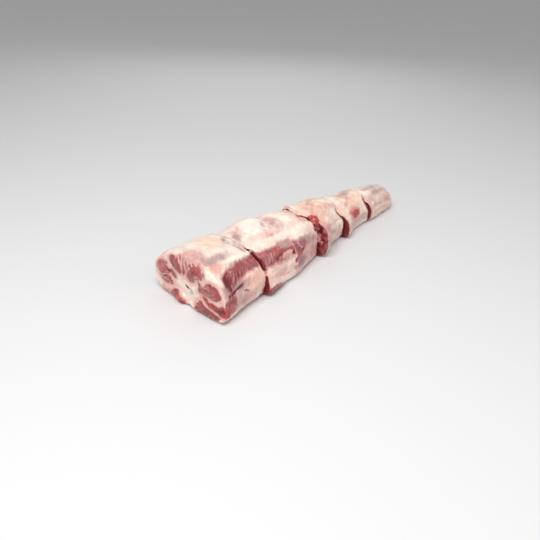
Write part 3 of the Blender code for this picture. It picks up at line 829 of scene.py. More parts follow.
# The front cut, in mm across (its left first) and up. A lobe: what differs from usualLobe, and its outline.
# A stroke: layer, its line, half its width in mm, how strong it is, mm it stands out.
frontCut = {
    "lobes": [
        {"layer": "bright", "strength": 0.55, "soft": 3, "outline": [(13, 24), (14, 17), (12, 11), (6, 7.5),
            (-1, 6.5), (-8, 9), (-12, 15), (-11, 21), (-5, 24.5), (4, 26)]},
        {"layer": "bright", "soft": 2, "out": 0.5, "outline": [(-22, 47), (-30, 48), (-36, 45), (-36, 38),
            (-29, 37), (-23, 38), (-21, 42)]},
        {"layer": "bright", "soft": 2.5, "strength": 0.8, "out": 0.3, "outline": [(-31, 18.6), (-36, 19.5),
            (-41, 22.5), (-44, 27), (-47, 30), (-47, 24), (-43, 20.5), (-37, 18)]},
        {"layer": "bright", "soft": 2.5, "strength": 0.7, "outline": [(45, 24), (41, 18), (39, 12),
            (33, 8.5), (26, 8.5), (22, 10.5), (28, 5), (40, 4), (46, 12)]},
        {"layer": "flush", "soft": 3, "strength": 0.9, "outline": [(14, 45), (12, 49), (4, 54), (-8, 56),
            (-16, 53), (-20, 47), (-12, 47), (-2, 43), (6, 43)]},
        {"layer": "flush", "soft": 2, "strength": 0.9, "outline": [(11, 46), (10, 36), (6, 29), (1, 26),
            (-3, 34), (0, 45), (6, 48)]},
        {"layer": "flush", "soft": 2.5, "strength": 0.75, "outline": [(-8, 6), (-14, 12), (-17, 17),
            (-22, 18.5), (-20, 12), (-14, 6)]},
        {"marbling": 0.7, "grain": 25, "deep": 0, "flush": 0.2, "soft": 1.5, "outline": [(42.5, 27),
            (40, 31), (36, 33), (32, 33.8), (28, 33.3), (26.5, 30), (22.5, 29), (21.5, 25.5), (25, 22.5),
            (31, 20.5), (36, 19.3), (40.5, 21), (42.5, 24)]},
        {"marbling": 0.7, "grain": 20, "deep": 0.1, "flush": 0.2, "soft": 1.5, "outline": [(36.5, 18.5),
            (32, 19.8), (27, 21), (23, 21), (20.5, 18.5), (19.6, 15), (21, 12.6), (26, 11.8), (32, 11.3),
            (35.5, 13), (37.5, 16)]},
        {"flush": 0.5, "soft": 1.6, "strength": 0.85, "out": 0.6, "outline": [(21.5, 29), (18.5, 28),
            (15.5, 25), (14.5, 22.5), (17, 21), (20, 22.3), (22, 25.5)]},
        {"marbling": 0.55, "grain": 65, "deep": 0.18, "soft": 1.3, "outline": [(24.5, 38.5), (23, 42),
            (19.5, 44.3), (15.5, 44), (12.5, 43.5), (10.5, 40.5), (9.2, 37), (7.8, 33), (8.6, 29.3),
            (12, 29), (15, 30), (18.3, 32), (21.5, 34.5)]},
        {"soft": 1.2, "strength": 0.8, "out": 0.4, "flush": 0.3, "outline": [(12.5, 46.5), (9.5, 48.5),
            (8, 45.5), (9, 42), (10.5, 42.5)]},
        {"soft": 1.2, "strength": 0.75, "out": 0.3, "flush": 0.4, "outline": [(6.8, 46), (5, 46.5),
            (4.2, 42), (5.5, 39), (7, 41)]},
        {"soft": 1.4, "strength": 0.8, "out": 0.4, "flush": 0.3, "deep": 0.1, "outline": [(7.5, 38.5),
            (5, 38.6), (3.2, 35), (3, 31), (6, 28.6), (7.6, 31), (7, 35)]},
        {"soft": 1.2, "strength": 0.8, "out": 0.4, "fresh": 0.5, "outline": [(3, 44), (0.8, 44.5),
            (-0.5, 41), (1.4, 36.5), (2.6, 37), (2.4, 41)]},
        {"marbling": 0.6, "grain": 50, "deep": 0.1, "fresh": 0.25, "soft": 1.4, "outline": [(-1, 40),
            (-3, 43.5), (-6.5, 45.6), (-10.5, 45), (-14, 46.5), (-17.6, 45), (-18.6, 41), (-19.4, 37),
            (-17.5, 33.5), (-13.5, 32.3), (-10.5, 31), (-8.6, 28), (-5.5, 26), (-2, 26), (0.6, 28),
            (1.6, 32), (0.4, 36.5)]},
        {"soft": 0.9, "strength": 0.7, "deep": 0.5, "out": 0.2, "outline": [(-19.6, 42.5), (-21.4, 41.5),
            (-21.6, 38.5), (-20, 37.6), (-19.4, 40)]},
        {"soft": 1.2, "strength": 0.9, "deep": 0.4, "out": 0.4, "outline": [(-13, 31.5), (-16.5, 30),
            (-18.6, 27), (-18.2, 23.4), (-15.6, 20.8), (-13.6, 22.6), (-14.4, 26.5)]},
        {"marbling": 0.3, "grain": 30, "deep": 0.05, "fresh": 0.1, "soft": 1.2, "outline": [(-18.5, 26),
            (-21.6, 30), (-24.6, 33.6), (-29, 35.4), (-34, 35), (-38.4, 32.6), (-41.6, 29.6), (-43, 26.6),
            (-41.4, 23.6), (-37.6, 21.4), (-33, 19.9), (-27.4, 20.4), (-22, 19.6), (-17.6, 21.2),
            (-16.8, 24)]},
        # The next two bands of muscle low on the cut are darker partly for the meat's own colour and partly
        # as painted shade, as the face turns downward there.
        {"marbling": 0.25, "grain": 5, "fresh": 0.5, "deep": 0.32, "soft": 1.3, "outline": [(-18, 18.2),
            (-20.6, 19.2), (-24, 18.6), (-27.4, 16.8), (-31.4, 17.2), (-36, 17.2), (-40.4, 16.8),
            (-43.4, 19.4), (-47, 19.6), (-53, 22), (-53, 11), (-48, 8), (-43, 8.4), (-37.6, 10.6),
            (-31, 11.3), (-25.6, 12.8), (-21, 15.2)]},
        {"marbling": 0.4, "grain": 5, "deep": 0.32, "flush": 0.1, "soft": 1.4, "outline": [(-15.4, 12.6),
            (-18.6, 13), (-22.6, 10.6), (-28.4, 9.8), (-34.4, 9), (-40.6, 7.8), (-43.4, 5.6), (-40, 2.6),
            (-33, 1), (-25, 0.4), (-17, 0.2), (-11.6, 1), (-9.8, 4), (-12, 7.6)]},
        {"marbling": 0.4, "grain": 40, "deep": 0.1, "flush": 0.15, "soft": 1.4, "outline": [(21.6, 6.4),
            (20, 9.4), (17, 11.2), (13.2, 11.4), (10.2, 9), (8, 6.6), (4, 5.6), (1.6, 3.4), (3, 0.4),
            (10, 0), (17, 0.6), (22, 3)]},
        {"strength": 0.5, "soft": 2.4, "flush": 0.8, "out": 0.3, "outline": [(35, 4.6), (29, 6), (23, 6.6),
            (21, 4), (25, 1), (33, 1)]},
    ],
    "strokes": [
        ("bright", [(13, 47), (11.4, 43.5), (10, 39.5)], 1.0, 0.7, -0.2),
        ("bright", [(8, 47), (7.4, 43), (8.2, 39)], 0.9, 0.6, -0.2),
        ("flush", [(3.6, 45), (3.4, 40), (2.4, 35), (2, 29)], 1.1, 0.8, -0.3),
        ("bright", [(-1.6, 47.5), (-5, 45.6), (-7.6, 43)], 1.2, 0.8, -0.3),
        ("bright", [(-8.6, 47), (-10.6, 46.2), (-12.4, 44.4)], 1.0, 0.7, -0.2),
        ("flush", [(-1.5, 35.5), (-3.6, 38.5), (-5, 41)], 0.9, 0.7, -0.2),
        ("flush", [(-11, 34.5), (-14, 35.4), (-16.4, 35)], 0.8, 0.6, -0.1),
        ("lean", [(-4, 48.6), (-6.6, 49.6), (-10, 50.8), (-13, 50.2), (-15.6, 48)], 1.4, 0.75, -0.2),
        ("deep", [(-8, 50.4), (-10.6, 51)], 1.4, 0.6, -0.1),
        ("flush", [(41, 25.8), (36, 24.6), (30, 22.2), (24, 22.2)], 1.2, 0.4, -0.2),
        ("flush", [(38, 18.6), (32, 19.9), (27, 21.4)], 1.3, 0.55, -0.3),
        ("flush", [(37, 16.6), (30, 16.4), (22, 15)], 1.3, 0.5, -0.2),
        ("flush", [(40, 29.4), (34, 28.6), (27, 26.6)], 1, 0.35, -0.1),
        ("flush", [(34, 31), (30.6, 30.4)], 1, 0.4, -0.1),
        ("deep", [(31.5, 18.6), (28.4, 20.2), (25, 21.8)], 1.2, 0.85, -0.5),
        ("deep", [(24.6, 27.4), (23, 26)], 1.8, 0.95, -0.5),
        ("deep", [(15.4, 36), (14.6, 31.5), (12.6, 30.4)], 2.8, 0.6, -0.2),
        ("deep", [(21, 41), (18, 38), (17, 35)], 1.6, 0.3, 0),
        ("deep", [(0.2, 34.5), (-0.8, 31), (-1.6, 28.6)], 2.8, 0.6, -0.2),
        ("deep", [(-8.4, 38.4), (-12, 39.6), (-15, 38)], 2.4, 0.4, -0.1),
        ("deep", [(-15.4, 27), (-16.8, 24)], 2.2, 0.6, 0),
        ("flush", [(-16.6, 15.6), (-22.6, 13), (-27, 10.8), (-33, 10.2), (-38, 9.4)], 1.4, 0.9, -0.4),
        ("bright", [(-17.4, 20), (-22.4, 19.4), (-28, 18.6), (-34, 18.4)], 1.1, 0.7, -0.3),
        ("sheen", [(-21.6, 22.6), (-25, 21.8), (-28.4, 22.4)], 1.1, 0.7, 0),
        ("sheen", [(-24, 24.6), (-27.6, 23.8), (-30.4, 24.6)], 0.9, 0.55, 0),
        ("sheen", [(-29.6, 21.4), (-33, 22.4), (-35.4, 24.4)], 1.1, 0.65, 0),
        ("sheen", [(-32.4, 26), (-34.6, 27.4)], 0.9, 0.5, 0),
        ("flush", [(-22, 29), (-26.6, 30.2), (-30.6, 29.4)], 0.8, 0.45, -0.1),
        ("deep", [(-28, 34), (-32, 34.2), (-35, 33)], 2.2, 0.35, 0),
        ("deep", [(-39, 12), (-43, 13.6), (-46, 15.6)], 2.2, 0.9, -0.4),
        ("deep", [(6.6, 1.6), (4.4, 2.4)], 2.4, 0.8, -0.2),
        ("fresh", [(7, 3), (4, 3)], 4, 0.7, 0),
        ("deep", [(-24, 6), (-28, 4.8)], 2.4, 0.4, 0),
        ("fresh", [(-44, 9.4), (-50, 12), (-51, 18), (-51, 24)], 5, 0.95, 0),
        ("bright", [(-43, 4.2), (-46, 4.8), (-49, 7)], 3.2, 1, 0.9),
        ("veil", [(-20.6, 40), (-21.4, 36)], 2, 0.5, -0.2),
        ("veil", [(-8, 21), (-14, 18)], 3, 0.2, 0),
    ],
}
# The tip's cut, which the photo doesn't show: lobes round a bone like the front's.
tipCut = {
    "lobes": [
        {"layer": "bright", "strength": 0.5, "soft": 2.5, "outline": [(11, 12), (9, 18), (3, 20), (-3, 18),
            (-5, 12), (-3, 6), (3, 4.5), (9, 6)]},
        {"marbling": 0.4, "grain": 80, "deep": 0.1, "soft": 0.9, "outline": [(1.6, 21.6), (-2, 22),
            (-6, 20.4), (-7.4, 18.2), (-4.6, 16.8), (-1.4, 17.8), (1.2, 19.2)]},
        {"marbling": 0.5, "grain": 20, "deep": 0.15, "soft": 0.9, "fresh": 0.2, "outline": [(-8.2, 17.4),
            (-10.6, 15), (-11.6, 11.6), (-10.8, 9), (-8, 8.2), (-5.4, 9.8), (-5.2, 13), (-6.6, 15.6)]},
        {"marbling": 0.4, "grain": 5, "deep": 0.3, "soft": 1.1, "outline": [(-11.6, 6.8), (-11.4, 3.8),
            (-8.6, 2), (-4.8, 2.4), (-1.8, 4), (-2.6, 6), (-6, 6.4), (-9, 7.2)]},
        {"marbling": 0.5, "grain": 100, "deep": 0.12, "soft": 0.9, "outline": [(4.8, 21.8), (8.6, 22.4),
            (12.4, 21.2), (13.8, 19), (11, 17.6), (7.6, 17.2), (5, 18.8)]},
        {"marbling": 0.35, "grain": 140, "deep": 0.1, "soft": 0.9, "outline": [(15, 18), (17.4, 15.6),
            (18.4, 12), (17.8, 9.4), (14.8, 8.6), (11.8, 10.2), (11.4, 13), (12.6, 16.2)]},
        {"marbling": 0.4, "grain": 0, "deep": 0.25, "soft": 1.1, "fresh": 0.2, "outline": [(18.2, 7),
            (17.8, 4.2), (15, 2.2), (10.6, 2), (7.4, 3.4), (8, 5.6), (11.4, 6.4), (15, 7.2)]},
        {"soft": 1, "strength": 0.7, "flush": 0.4, "out": 0.3, "outline": [(0.8, 4), (2.8, 4.6), (5, 4),
            (4.4, 2.8), (1.6, 2.6)]},
    ],
    "strokes": [
        ("bright", [(-3, 21), (-4.6, 18.4)], 0.6, 0.6, -0.1),
        ("flush", [(-10.6, 13.4), (-7, 12), (-5.6, 11.8)], 0.7, 0.7, -0.1),
        ("bright", [(-10, 4.4), (-6.4, 4.2), (-3.4, 4.8)], 0.7, 0.6, -0.1),
        ("flush", [(9, 21.4), (10, 18.4)], 0.6, 0.6, -0.1),
        ("bright", [(17, 12.4), (14, 12.6), (12.4, 13.4)], 0.7, 0.6, -0.1),
        ("flush", [(16, 4.6), (12.6, 4.2), (9, 4.4)], 0.7, 0.6, -0.1),
        ("deep", [(-9, 10), (-7, 9.6)], 1.4, 0.6, -0.2),
        ("deep", [(16.6, 14.4), (15.6, 16)], 1.2, 0.5, -0.1),
    ],
}
# The cut that the third gap shows: seams like the others', and its torn lobes.
thirdCutFace = {
    "seams": [(48, 2), (88, 2.5), (268, 3), (355, 2)],
    "rind": [(0, 0.3), (44, 0.3), (52, 2), (70, 3), (97, 3), (105, 1.4), (124, 1.2), (136, 0.1), (230, 0.1),
        (270, 1)],
    "core": 10.5,
    "deep": [(90, 0.8), (130, 0.8), (150, 0.85), (200, 0.8)],
    "rough": 0.55,
    "lobes": [
        # painted shade, dark red, in the sunken hollow between the vessel and the strand
        {"layer": "deep", "strength": 1, "soft": 1, "out": -1.6, "outline": [(-21.6, 31), (-25, 31.6),
            (-26.6, 28.6), (-26.4, 25.4), (-23.6, 25.4), (-21.4, 27.6)]},
        {"deep": 0.3, "fresh": 0.1, "out": 2.6, "marbling": 0.6, "soft": 0.8, "flush": 0.3,
            "outline": [(-26.2, 29.8), (-28.8, 31), (-31.8, 29.6), (-32.8, 26.2), (-31, 24.6), (-28.6, 26),
            (-26.4, 27)]},
        {"deep": 0.5, "out": 2.4, "marbling": 0.5, "soft": 0.8, "outline": [(-27.2, 24.8), (-30.4, 23.8),
            (-33.6, 25), (-34.6, 20.4), (-33.4, 17.6), (-30.6, 19), (-28.2, 20.4)]},
        {"deep": 0.15, "fresh": 0.1, "out": 2.2, "marbling": 0.7, "soft": 0.8, "flush": 0.4,
            "outline": [(-30.4, 17.6), (-33.4, 17), (-35.2, 13.8), (-34.8, 10), (-32.2, 9.4),
            (-30.4, 12.6)]},
        {"deep": 0.6, "out": 1.6, "marbling": 0.4, "soft": 1, "outline": [(-26.6, 12.6), (-30, 11.6),
            (-33.6, 8), (-32.6, 3.6), (-28, 3.2), (-25.6, 7)]},
        {"strength": 0.85, "flush": 0.6, "fresh": 0.3, "deep": 0, "out": 2.6, "marbling": 0.3, "soft": 0.9,
            "outline": [(-25.8, 17.4), (-28.4, 18.6), (-30.6, 17.6), (-30, 15), (-27.4, 13.6),
            (-25.4, 14.8)]},
        {"strength": 0.26, "flush": 1, "deep": 0, "out": 5.8, "marbling": 0.1, "soft": 0.8,
            "outline": [(-20, 28), (-22.4, 25.8), (-25.4, 25), (-26.9, 21.6), (-27.8, 18), (-26.6, 15.4),
            (-24.2, 17.2), (-22.8, 20.4), (-20.8, 23.6)]},
    ],
    "strokes": [
        ("flush", [(-22.4, 25), (-24.6, 21.6), (-25.8, 17.6)], 1.2, 0.9, 0.4),
        # the next two: dark meat in the crevices between the strands, darkened further as painted shade
        ("deep", [(-26.4, 25.4), (-27.6, 21.4), (-28.6, 18.8)], 1.2, 0.9, -0.8),
        ("deep", [(-30.4, 18.6), (-30.6, 15), (-30, 12.4)], 1.1, 0.8, -0.6),
        ("flush", [(-33.4, 29), (-34.6, 25), (-35.6, 20), (-36, 14)], 1.4, 0.7, 0),
    ],
}

# Each slice, thick end first. Places are mm along the tail and degrees round it: 0 its left, 90 its
# back, 180 its right. A list of pairs gives an amount at some degrees, and blends from one to the next.
# fine: the cuts that can be seen. rims: mm that the skin rounds over into each cut.
# ground: how much of each layer the whole skin has. edges: along which cut, layer, mm wide, how strong.
# patches: mm along, degrees round, half the length in mm, half the width in degrees, mm its edge is
# soft, how strong it is, and where they aren't 0, mm it stands out and degrees it is turned.
# bands, of bare muscle: outline, mm its edge is soft, how strong it is, mm it stands out. They and the
# patches on the right come again on the left, the bands only where the slice is twoSided.
# marks: line, its width in mm, how strong it is, mm it stands out.
# front and rear, the cuts: what differs from usualFace. seams of fat, as degrees and mm wide; rind, in mm;
# core, the mm from the middle that the fat round the bone reaches; how dark, fresh and pink it is.
sliceOne = {
    "seed": 11,
    "fine": ("front",),
    "twoSided": True,
    "rims": {"front": [(60, 2), (100, 3.4), (140, 3.8), (160, 2.6), (180, 1.6), (270, 1.8), (355, 1.8)],
        "rear": [(60, 0.7), (120, 0.6), (150, 1.6), (200, 1.6)]},
    "ground": {"warm": 0.12, "flush": [(90, 0.05), (130, 0.05), (170, 0.4), (200, 0.5), (270, 0.3)]},
    "edges": [
        ("fromRear", "flush", 3, [(125, 0), (140, 0.7), (220, 0.7)]),
        ("fromFront", "flush", 3, [(90, 0.3), (115, 0.55), (140, 0.3), (150, 0.2), (190, 0.8)]),
        # painted shade: a mauve-grey line along the crease to slice 2 over the back
        ("fromRear", "veil", 1.2, [(70, 0.8), (122, 0.8), (130, 0)]),
        ("fromRear", "lean", 0.9, [(96, 0), (104, 0.5), (122, 0.6)]),
        ("fromRear", "lean", 1.4, [(122, 0), (127, 0.7), (134, 0.7), (140, 0)]),
    ],
    "patches": {
        "warm": [(-128, 78, 18, 24, 8, 0.6), (-154, 132, 10, 6, 3, 0.8), (-158, 134, 6, 6, 3, 0.8, 0.3),
            (-117, 167, 13, 13, 4, 0.85, 1.4)],
        "flush": [(-159, 93, 7, 14, 5, 0.9, 0.3), (-148, 90, 12, 5, 4, 0.45, 0, -50),
            (-141, 97, 8, 4, 3, 0.3, 0, -50), (-144, 121, 14, 6, 4, 0.35), (-155, 100, 9, 24, 5, 0.35),
            (-154, 132, 10, 6, 3, 0.4), (-154, 130, 8, 6, 4, 0.4), (-158, 136, 6, 8, 3, 0.3),
            (-160, 127, 3, 4.6, 1.2, 0.9, 0.4), (-160.3, 127, 1.4, 2.2, 0.8, -0.8, -0.5),
            (-136, 162, 12, 6, 4, 0.5), (-117, 162, 12, 5, 4, 0.4), (-130, 182, 24, 7, 4, 0.7)],
        "veil": [(-150, 66, 6, 6, 4, 0.3), (-134, 81, 4, 2.5, 2, 0.3, 0, -45),
            (-110.5, 75.5, 11, 3.2, 2.5, 0.95, -0.6, -53), (-112, 91, 5, 2.4, 2, 0.5, -0.2, -50),
            (-106.5, 94, 6, 2.4, 2, 0.5, -0.2, -50), (-107, 108, 4.5, 20, 4, 0.5),
            (-108.5, 118, 2, 8, 1.8, 0.7, -0.4), (-145, 119, 20, 7.5, 4, 0.75, -0.8),
            (-147, 121.5, 10, 4, 3, 0.5, -0.2), (-158, 113, 4, 6, 2.5, 0.35), (-157, 98, 7, 44, 4, 0.3),
            (-135, 163, 11, 6, 4, 0.8), (-128, 136, 24, 3.5, 3, 0.6, 0, -4),
            (-114, 150, 12, 4, 3, 0.55, 0, 3), (-138, 162, 11, 5, 3, 0.8, -0.2),
            (-118, 147, 12, 6, 4, 0.35), (-158, 160, 6, 9, 4, 0.9, -0.2), (-142, 172, 9, 5, 4, 0.55),
            (-136, 181, 18, 7, 4, 0.6)],
        "bright": [(-124, 130, 20, 4, 3, 0.8, 0.9)],
        "lean": [(-155, 177, 9, 12, 4, 0.8), (-135, 163, 9, 4, 4, 0.3), (-138, 161, 9, 4, 3, 0.4),
            (-156, 160, 6, 5, 4, 0.5), (-132, 172.5, 3.8, 1.9, 1.2, 0.95, -0.5, 33),
            (-137, 184, 12, 3, 3, 0.45, 0, 3), (-104, 189, 3.8, 7, 2, 1, -0.3), (-132, 300, 26, 17, 3, 1),
            (-132, 240, 26, 17, 3, 1)],
        "fresh": [(-140, 144, 5, 3, 3, 0.3), (-122, 141, 7, 4, 3, 0.25), (-160, 183, 8, 6, 3.5, 0.95),
            (-105, 145, 2.4, 9, 2, 0.5)],
        "deep": [(-153, 153, 4, 10, 3, 0.9, -0.5, -12), (-149, 144, 4, 4, 3, 0.5, 0, -40),
            (-130, 151, 14, 4, 3, 0.35), (-132, 172.5, 2.4, 1, 0.8, 0.6, -0.2, 33),
            (-154, 173.5, 5, 3.4, 2.5, 0.75, -0.2), (-103.4, 190, 2.6, 5, 1.8, 0.8)],
        "sheen": [(-132, 255, 24, 5, 3, 0.6)],
    },
    "bands": [
        ([(-158, 150), (-154, 143), (-148, 140), (-140, 138.5), (-128, 135.5), (-116, 135), (-108, 135),
            (-100, 135), (-100, 155), (-110, 154), (-120, 154), (-129, 155.5), (-136, 157), (-143, 159),
            (-150, 163), (-156, 163)], 3.2, 1, -0.9),
        ([(-168, 174), (-160, 171), (-155, 169.5), (-150, 170), (-148, 173), (-150, 178), (-148, 184),
            (-152, 188), (-158, 189), (-168, 190)], 2.2, 1, -0.2),
    ],
    "marks": {
        "sheen": [([(-144.5, 143), (-146, 148), (-148.5, 155), (-150, 160)], 1.5, 0.9, 0.35),
            ([(-141, 146), (-142.5, 151), (-145, 158)], 1.3, 0.9, 0.3),
            ([(-137.5, 147), (-138.6, 152), (-141, 158)], 1.2, 0.8, 0.3),
            ([(-131.6, 146), (-132.4, 151), (-134.4, 156)], 1.0, 0.7, 0.25),
            ([(-126.6, 144), (-127.4, 149), (-128.4, 153)], 0.9, 0.55, 0.2),
            ([(-119, 137), (-121.6, 144), (-122.4, 150)], 0.9, 0.45, 0.2),
            ([(-112, 136), (-114, 143), (-115, 149)], 0.9, 0.4, 0.15),
            ([(-146, 161), (-140, 160.4), (-134, 160)], 1.2, 0.6, 0.2)],
        "deep": [([(-146, 146), (-147.6, 152), (-149.6, 159)], 1.4, 0.9, -0.4),
            ([(-139.6, 147), (-141, 153), (-143.4, 158)], 1.2, 0.8, -0.4),
            ([(-134.4, 147), (-135.4, 152), (-137, 156.5)], 1.2, 0.9, -0.4),
            ([(-129, 147), (-129.8, 152), (-130.4, 155)], 1.1, 0.8, -0.3),
            ([(-152, 146), (-153.6, 152), (-153, 159), (-151.6, 162)], 2.2, 0.9, -0.4),
            ([(-156, 166.4), (-150, 165.6), (-143, 164.4), (-136, 163.4)], 1.6, 0.9, -0.4)],
        "lean": [([(-157, 166.4), (-150, 165.6), (-143, 164.4), (-134, 163.2)], 2.2, 0.95, -0.5)],
        "bright": [([(-157, 168.4), (-150, 167.8), (-143, 167), (-136, 166.4), (-128, 166)], 1.6, 0.8, 0.5),
            ([(-150, 190.6), (-140, 189.6), (-128, 187), (-116, 186)], 2, 0.7, 0.3)],
        "flush": [([(-150, 175), (-142, 176), (-134, 179), (-124, 181)], 2, 0.7, 0.2)],
    },
    "front": frontCut,
    "rear": {
        "seams": [(35, 2), (85, 2.5), (140, 2), (178, 2), (268, 3), (355, 2)],
        "rind": [(0, 3), (90, 3.5), (130, 3), (145, 0.8), (158, 1.5), (185, 0.8), (215, 1), (270, 1),
            (330, 1.5)],
        "core": 14.5,
        "deep": 0.6,
    },
}
sliceTwo = {
    "seed": 23,
    "fine": (),
    "twoSided": True,
    "rims": {"front": [(60, 0.7), (120, 0.6), (150, 1.8), (200, 1.8)], "rear": [(60, 0.7), (120, 0.6),
        (160, 1.2), (200, 1.0)]},
    "ground": {"warm": 0.12, "flush": [(90, 0.1), (130, 0.1), (165, 0.3), (190, 0.4), (270, 0.3)]},
    "edges": [
        ("fromFront", "flush", 3, [(125, 0), (140, 0.5), (160, 0.3), (185, 0.3), (220, 0.8)]),
        # painted shade: a mauve-grey line along the crease to slice 1 over the back
        ("fromFront", "veil", 1.2, [(70, 0.7), (118, 0.7), (128, 0)]),
        ("fromFront", "lean", 2.0, [(126, 0), (133, 0.9), (160, 0.9), (168, 0), (184, 0), (189, 0.9),
            (215, 0.9)]),
        ("fromFront", "deep", 1.6, [(126, 0), (136, 0.6), (158, 0.6), (166, 0), (184, 0), (189, 0.6),
            (215, 0.6)]),
        ("fromRear", "flush", 2, 0.3),
    ],
    "patches": {
        "flush": [(-93, 72, 9, 18, 6, 0.4), (-95, 82, 6, 8, 4, 0.4, 0, -62),
            (-84, 62, 6, 3, 3, 0.45, 0, -50), (-91, 113, 8, 9, 5, 0.4), (-70, 116, 12, 9, 5, 0.4),
            (-68, 122, 8, 3, 3, 0.3), (-66, 114, 9, 10, 4, 0.4), (-76, 164, 14, 6, 4, 0.7),
            (-62, 163, 8, 6, 4, 0.6), (-78, 176, 22, 8, 6, 0.3, 0.2)],
        "veil": [(-95.5, 82, 9, 5.5, 4, 0.95, -0.7, -62), (-76, 85, 5, 4, 3, 0.3, 0, -50),
            (-60, 84, 9, 3, 2.5, 0.7, -0.4, -55), (-58, 106, 5, 14, 5, 0.45),
            (-69, 122, 8, 3.6, 3, 0.65, -0.4), (-78, 164, 12, 5, 4, 0.6, -0.1),
            (-62, 163, 7, 5, 3, 0.6, -0.1), (-80, 142, 26, 3, 3, 0.7), (-92, 155, 8, 7, 4, 0.85),
            (-62, 149, 9, 8, 5, 0.85), (-74, 180, 10, 4, 4, 0.3)],
        "bright": [(-81, 98, 12, 16, 6, 0.85, 0.2), (-80, 132.5, 26, 5, 3, 0.35, 0.9)],
        "warm": [(-78, 132, 14, 8, 4, 0.5), (-96, 168, 7, 8, 4, 0.5, 0.4)],
        "lean": [(-79, 163, 9, 4, 3, 0.9), (-56, 174, 3.2, 4.5, 1.5, 1, -0.8),
            (-58, 184.5, 2.2, 5, 1.8, 0.6, -0.4, 25), (-78, 300, 22, 16, 3, 1), (-78, 238, 22, 16, 3, 1)],
        "fresh": [(-78, 148, 6, 3.5, 3, 0.45), (-101, 192, 3, 5, 2, 0.7)],
        "deep": [(-78, 156.5, 10, 2.2, 2, 0.6, -0.3, -9), (-56.5, 162, 3, 2.8, 1.5, 1, -0.4),
            (-55.5, 173.5, 2.4, 3, 1.2, 0.8), (-92, 194, 10, 4, 2, 0.55, 0, 8)],
        "sheen": [(-91, 154, 7, 5, 3, 0.5, 0, -20), (-78, 252, 20, 5, 3, 0.6)],
    },
    "bands": [
        ([(-104, 142), (-95, 141), (-85, 141), (-75, 141.5), (-66, 143), (-58, 145), (-51, 147), (-51, 164),
            (-57, 161), (-64, 156), (-70, 157), (-78, 160), (-87, 162), (-95, 163), (-104, 161)],
            3, 1, -0.8),
        ([(-61, 162), (-57, 159), (-54, 158.5), (-52, 160), (-53, 165), (-58, 165.5)], 1.2, 1, -1.2),
        ([(-106, 190), (-101, 188.5), (-94, 187), (-87, 189), (-80, 193), (-74, 198), (-80, 206),
            (-95, 208), (-106, 206)], 1.6, 1, 0.4),
    ],
    "marks": {
        "sheen": [([(-91, 148), (-92, 153), (-94, 160)], 1.2, 0.7, 0.3),
            ([(-87, 148), (-88, 153), (-90, 160)], 1.2, 0.6, 0.3),
            ([(-83, 150), (-84, 155), (-85.6, 159)], 1.1, 0.6, 0.25),
            ([(-72, 146), (-73.4, 150), (-75, 154)], 1.0, 0.5, 0.2),
            ([(-64, 145), (-66, 149), (-67, 153)], 1.2, 0.6, 0.2),
            ([(-68, 144), (-61, 149), (-57, 154)], 1.6, 0.4, 0.1)],
        "deep": [([(-89, 149), (-90.4, 155), (-92, 160)], 1.2, 0.5, -0.3),
            ([(-84, 160.6), (-76, 158.4), (-69, 156)], 1.6, 0.9, -0.3),
            ([(-98, 162), (-92, 162.6), (-86, 161.4)], 1.4, 0.6, -0.2)],
        "flush": [([(-98, 176), (-88, 178), (-78, 183), (-70, 185)], 2, 0.6, 0.2),
            ([(-88, 70), (-84, 64), (-80, 57)], 2.4, 0.5, 0)],
        "bright": [([(-96, 167), (-86, 168), (-76, 169), (-66, 168)], 2, 0.6, 0.5)],
        "lean": [([(-71, 145), (-63, 147.5), (-55, 150)], 5, -0.5, 0)],
    },
    "front": {
        "seams": [(40, 2), (88, 2.5), (135, 2), (172, 1.2), (268, 3), (355, 2)],
        "rind": [(0, 3), (60, 3), (90, 2.4), (118, 2.2), (130, 0.4), (142, 0.2), (215, 0.2), (270, 1),
            (330, 1.5)],
        "core": 12.5,
        "deep": [(90, 0.5), (130, 0.95), (165, 0.95), (185, 0.7), (215, 0.6)],
        "fresh": [(165, 0), (188, 0.6), (215, 0.6), (230, 0)],
    },
    "rear": {
        "seams": [(30, 2), (82, 2.5), (138, 2.5), (178, 2), (268, 3), (352, 2)],
        "rind": [(0, 3), (90, 3.5), (140, 1.5), (165, 0.4), (190, 1.5), (270, 1)],
        "core": 12.5,
        "deep": 0.5,
    },
}
